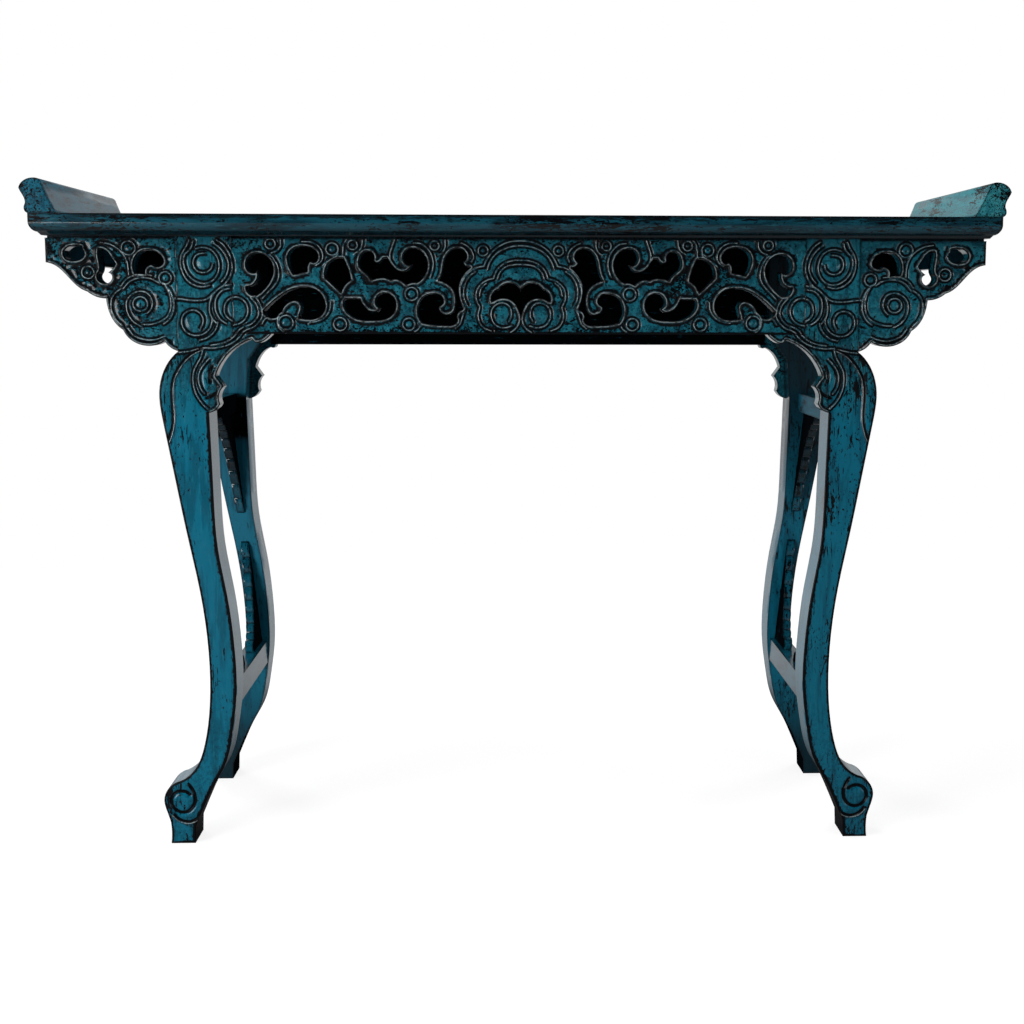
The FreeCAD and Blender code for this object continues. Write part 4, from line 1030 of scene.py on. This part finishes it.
def floor_material():
    """A grey floor for the light, that glows near white to the camera and weakly in the gloss."""
    s = Shader("floor")
    where = s.node("ShaderNodeTexCoord").outputs["Object"]
    far = s.node("ShaderNodeVectorMath", {0: where}, operation="LENGTH").outputs["Value"]
    ray = s.node("ShaderNodeLightPath")
    back = s.node("ShaderNodeSeparateXYZ", {0: where}).outputs["Y"]
    mirrored = s.plus(s.times(s.ramp(back, *FLOOR_BEHIND), FLOOR_MIRRORED_BEHIND), FLOOR_MIRRORED)
    in_gloss = s.times(ray.outputs["Is Glossy Ray"], mirrored)
    shown = s.larger(ray.outputs["Is Camera Ray"], in_gloss)
    grey = s.node("ShaderNodeBsdfDiffuse", {"Color": FLOOR_GREY})
    strength = s.times(shown, FLOOR_GLOW)
    glow = s.node("ShaderNodeEmission", {"Color": WHITE, "Strength": strength})
    near = s.node("ShaderNodeAddShader", {0: grey.outputs[0], 1: glow.outputs[0]})
    white = s.node("ShaderNodeEmission", {"Color": WHITE, "Strength": 1.0})
    share = s.times(s.ramp(far, *FLOOR_WHITE), shown)
    both = s.node("ShaderNodeMixShader", {0: share, 1: near.outputs[0], 2: white.outputs[0]})
    s.node("ShaderNodeOutputMaterial", {"Surface": both.outputs[0]})
    return s.material


floor_mesh = bpy.data.meshes.new("floor")
floor_plan = bmesh.new()
bmesh.ops.create_circle(floor_plan, cap_ends=True, radius=FLOOR_RADIUS, segments=96)
floor_plan.to_mesh(floor_mesh)
floor_plan.free()
floor_mesh.materials.append(floor_material())
floor = bpy.data.objects.new("floor", floor_mesh)
scene.collection.objects.link(floor)

# White surroundings, that light the table weakly. Each level is given for the front and the back
SKY_TURN = -0.7, 0.4  # part of the direction between which the front passes into the back
SKY_RISE = 0.05, 0.3  # the same from low down to high up
LIGHT_LEVEL = 0.2, 0.35
LOW_MIRRORED_LEVEL = 0.02, 0.75
HIGH_MIRRORED_LEVEL = 0.02, 0.3

world = bpy.data.worlds.new("studio")
scene.world = world
world.use_nodes = True
tree = world.node_tree
tree.nodes.clear()
path = tree.nodes.new("ShaderNodeLightPath")
direction = tree.nodes.new("ShaderNodeTexCoord")
parts = tree.nodes.new("ShaderNodeSeparateXYZ")
tree.links.new(direction.outputs["Generated"], parts.inputs[0])


def sky_ramp(axis, limits, levels=(0.0, 1.0)):
    """A smooth passage between two levels along one part of the direction."""
    made = tree.nodes.new("ShaderNodeMapRange")
    made.interpolation_type = "SMOOTHSTEP"
    for socket, value in zip(("From Min", "From Max", "To Min", "To Max"), (*limits, *levels)):
        made.inputs[socket].default_value = value
    tree.links.new(parts.outputs[axis], made.inputs["Value"])
    return made.outputs["Result"]


def choose(share, first, second):
    """The first value where the share is 0, the second where it is 1."""
    made = tree.nodes.new("ShaderNodeMix")
    made.data_type = "FLOAT"
    for socket, value in ((0, share), (2, first), (3, second)):
        if isinstance(value, bpy.types.NodeSocket):
            tree.links.new(value, made.inputs[socket])
        else:
            made.inputs[socket].default_value = value
    return made.outputs[0]


low_mirrored = sky_ramp("Y", SKY_TURN, LOW_MIRRORED_LEVEL)
high_mirrored = sky_ramp("Y", SKY_TURN, HIGH_MIRRORED_LEVEL)
mirrored_level = choose(sky_ramp("Z", SKY_RISE), low_mirrored, high_mirrored)
light_level = sky_ramp("Y", SKY_TURN, LIGHT_LEVEL)
unseen_level = choose(path.outputs["Is Glossy Ray"], light_level, mirrored_level)
shown_level = choose(path.outputs["Is Camera Ray"], unseen_level, 1.0)
background = tree.nodes.new("ShaderNodeBackground")
background.inputs["Color"].default_value = WHITE
tree.links.new(shown_level, background.inputs["Strength"])
output = tree.nodes.new("ShaderNodeOutputWorld")
tree.links.new(background.outputs[0], output.inputs["Surface"])


def area_lamp(name, place, target, width, watts, diffuse=True, glossy=True):
    """A round lamp that looks at a target, for diffuse light, for the gloss or for both."""
    lamp = bpy.data.lights.new(name, "AREA")
    lamp.shape = "DISK"
    lamp.size = width
    lamp.energy = watts
    holder = bpy.data.objects.new(name, lamp)
    holder.location = place
    holder.rotation_euler = (Vector(target) - Vector(place)).to_track_quat("-Z", "Y").to_euler()
    holder.visible_diffuse = diffuse
    holder.visible_glossy = glossy
    scene.collection.objects.link(holder)


# Key, fill and back lamps give diffuse light alone, the two low glint lamps gloss alone
area_lamp("key", (-2.0, -2.3, 0.95), (0.0, 0.0, 0.55), width=1.2, watts=70.0, glossy=False)
area_lamp("top", (-0.5, -0.5, 2.6), (0.0, 0.0, 0.6), width=1.2, watts=28.0)
area_lamp("fill", (2.3, -2.2, 1.3), (0.0, 0.0, 0.6), width=0.8, watts=10.0, glossy=False)
area_lamp("back_left", (-1.8, 2.6, 1.8), (0.0, 0.0, 0.5), width=1.2, watts=48.0, glossy=False)
area_lamp("back_right", (2.2, 2.2, 1.4), (0.0, 0.0, 0.5), width=1.2, watts=34.0, glossy=False)
area_lamp("glint_left", (-2.0, -2.3, 0.44), (0.0, 0.0, 0.6), width=1.3, watts=46.0, diffuse=False)
area_lamp("glint_right", (2.2, -2.2, 0.44), (0.0, 0.0, 0.6), width=1.0, watts=10.0, diffuse=False)

# The camera stands where the photograph was taken from
CAMERA_PLACE = (-0.0163, -2.3350, 0.7371)
YAW, PITCH, ROLL = math.radians(-2.19), math.radians(-7.34), math.radians(-0.13)
SENSOR_WIDTH = 36.0
FOCAL_LENGTH, PICTURE_WIDTH = 1602.2, 1024.0  # both in pixels
PICTURE_SHIFT = -0.0566  # as a share of the width
camera_data = bpy.data.cameras.new("camera")
camera_data.sensor_width = SENSOR_WIDTH
camera_data.lens = FOCAL_LENGTH / PICTURE_WIDTH * SENSOR_WIDTH
camera_data.shift_x = PICTURE_SHIFT
camera_data.clip_end = 100.0
camera = bpy.data.objects.new("camera", camera_data)
turned = Matrix.Rotation(YAW, 4, "Z") @ Matrix.Rotation(PITCH, 4, "X") @ Matrix.Rotation(ROLL, 4, "Y")
level = Matrix.Rotation(math.radians(90), 4, "X")
camera.matrix_world = Matrix.Translation(CAMERA_PLACE) @ turned @ level
scene.collection.objects.link(camera)
scene.camera = camera
scene.view_settings.view_transform = "Standard"

bpy.context.view_layer.update()
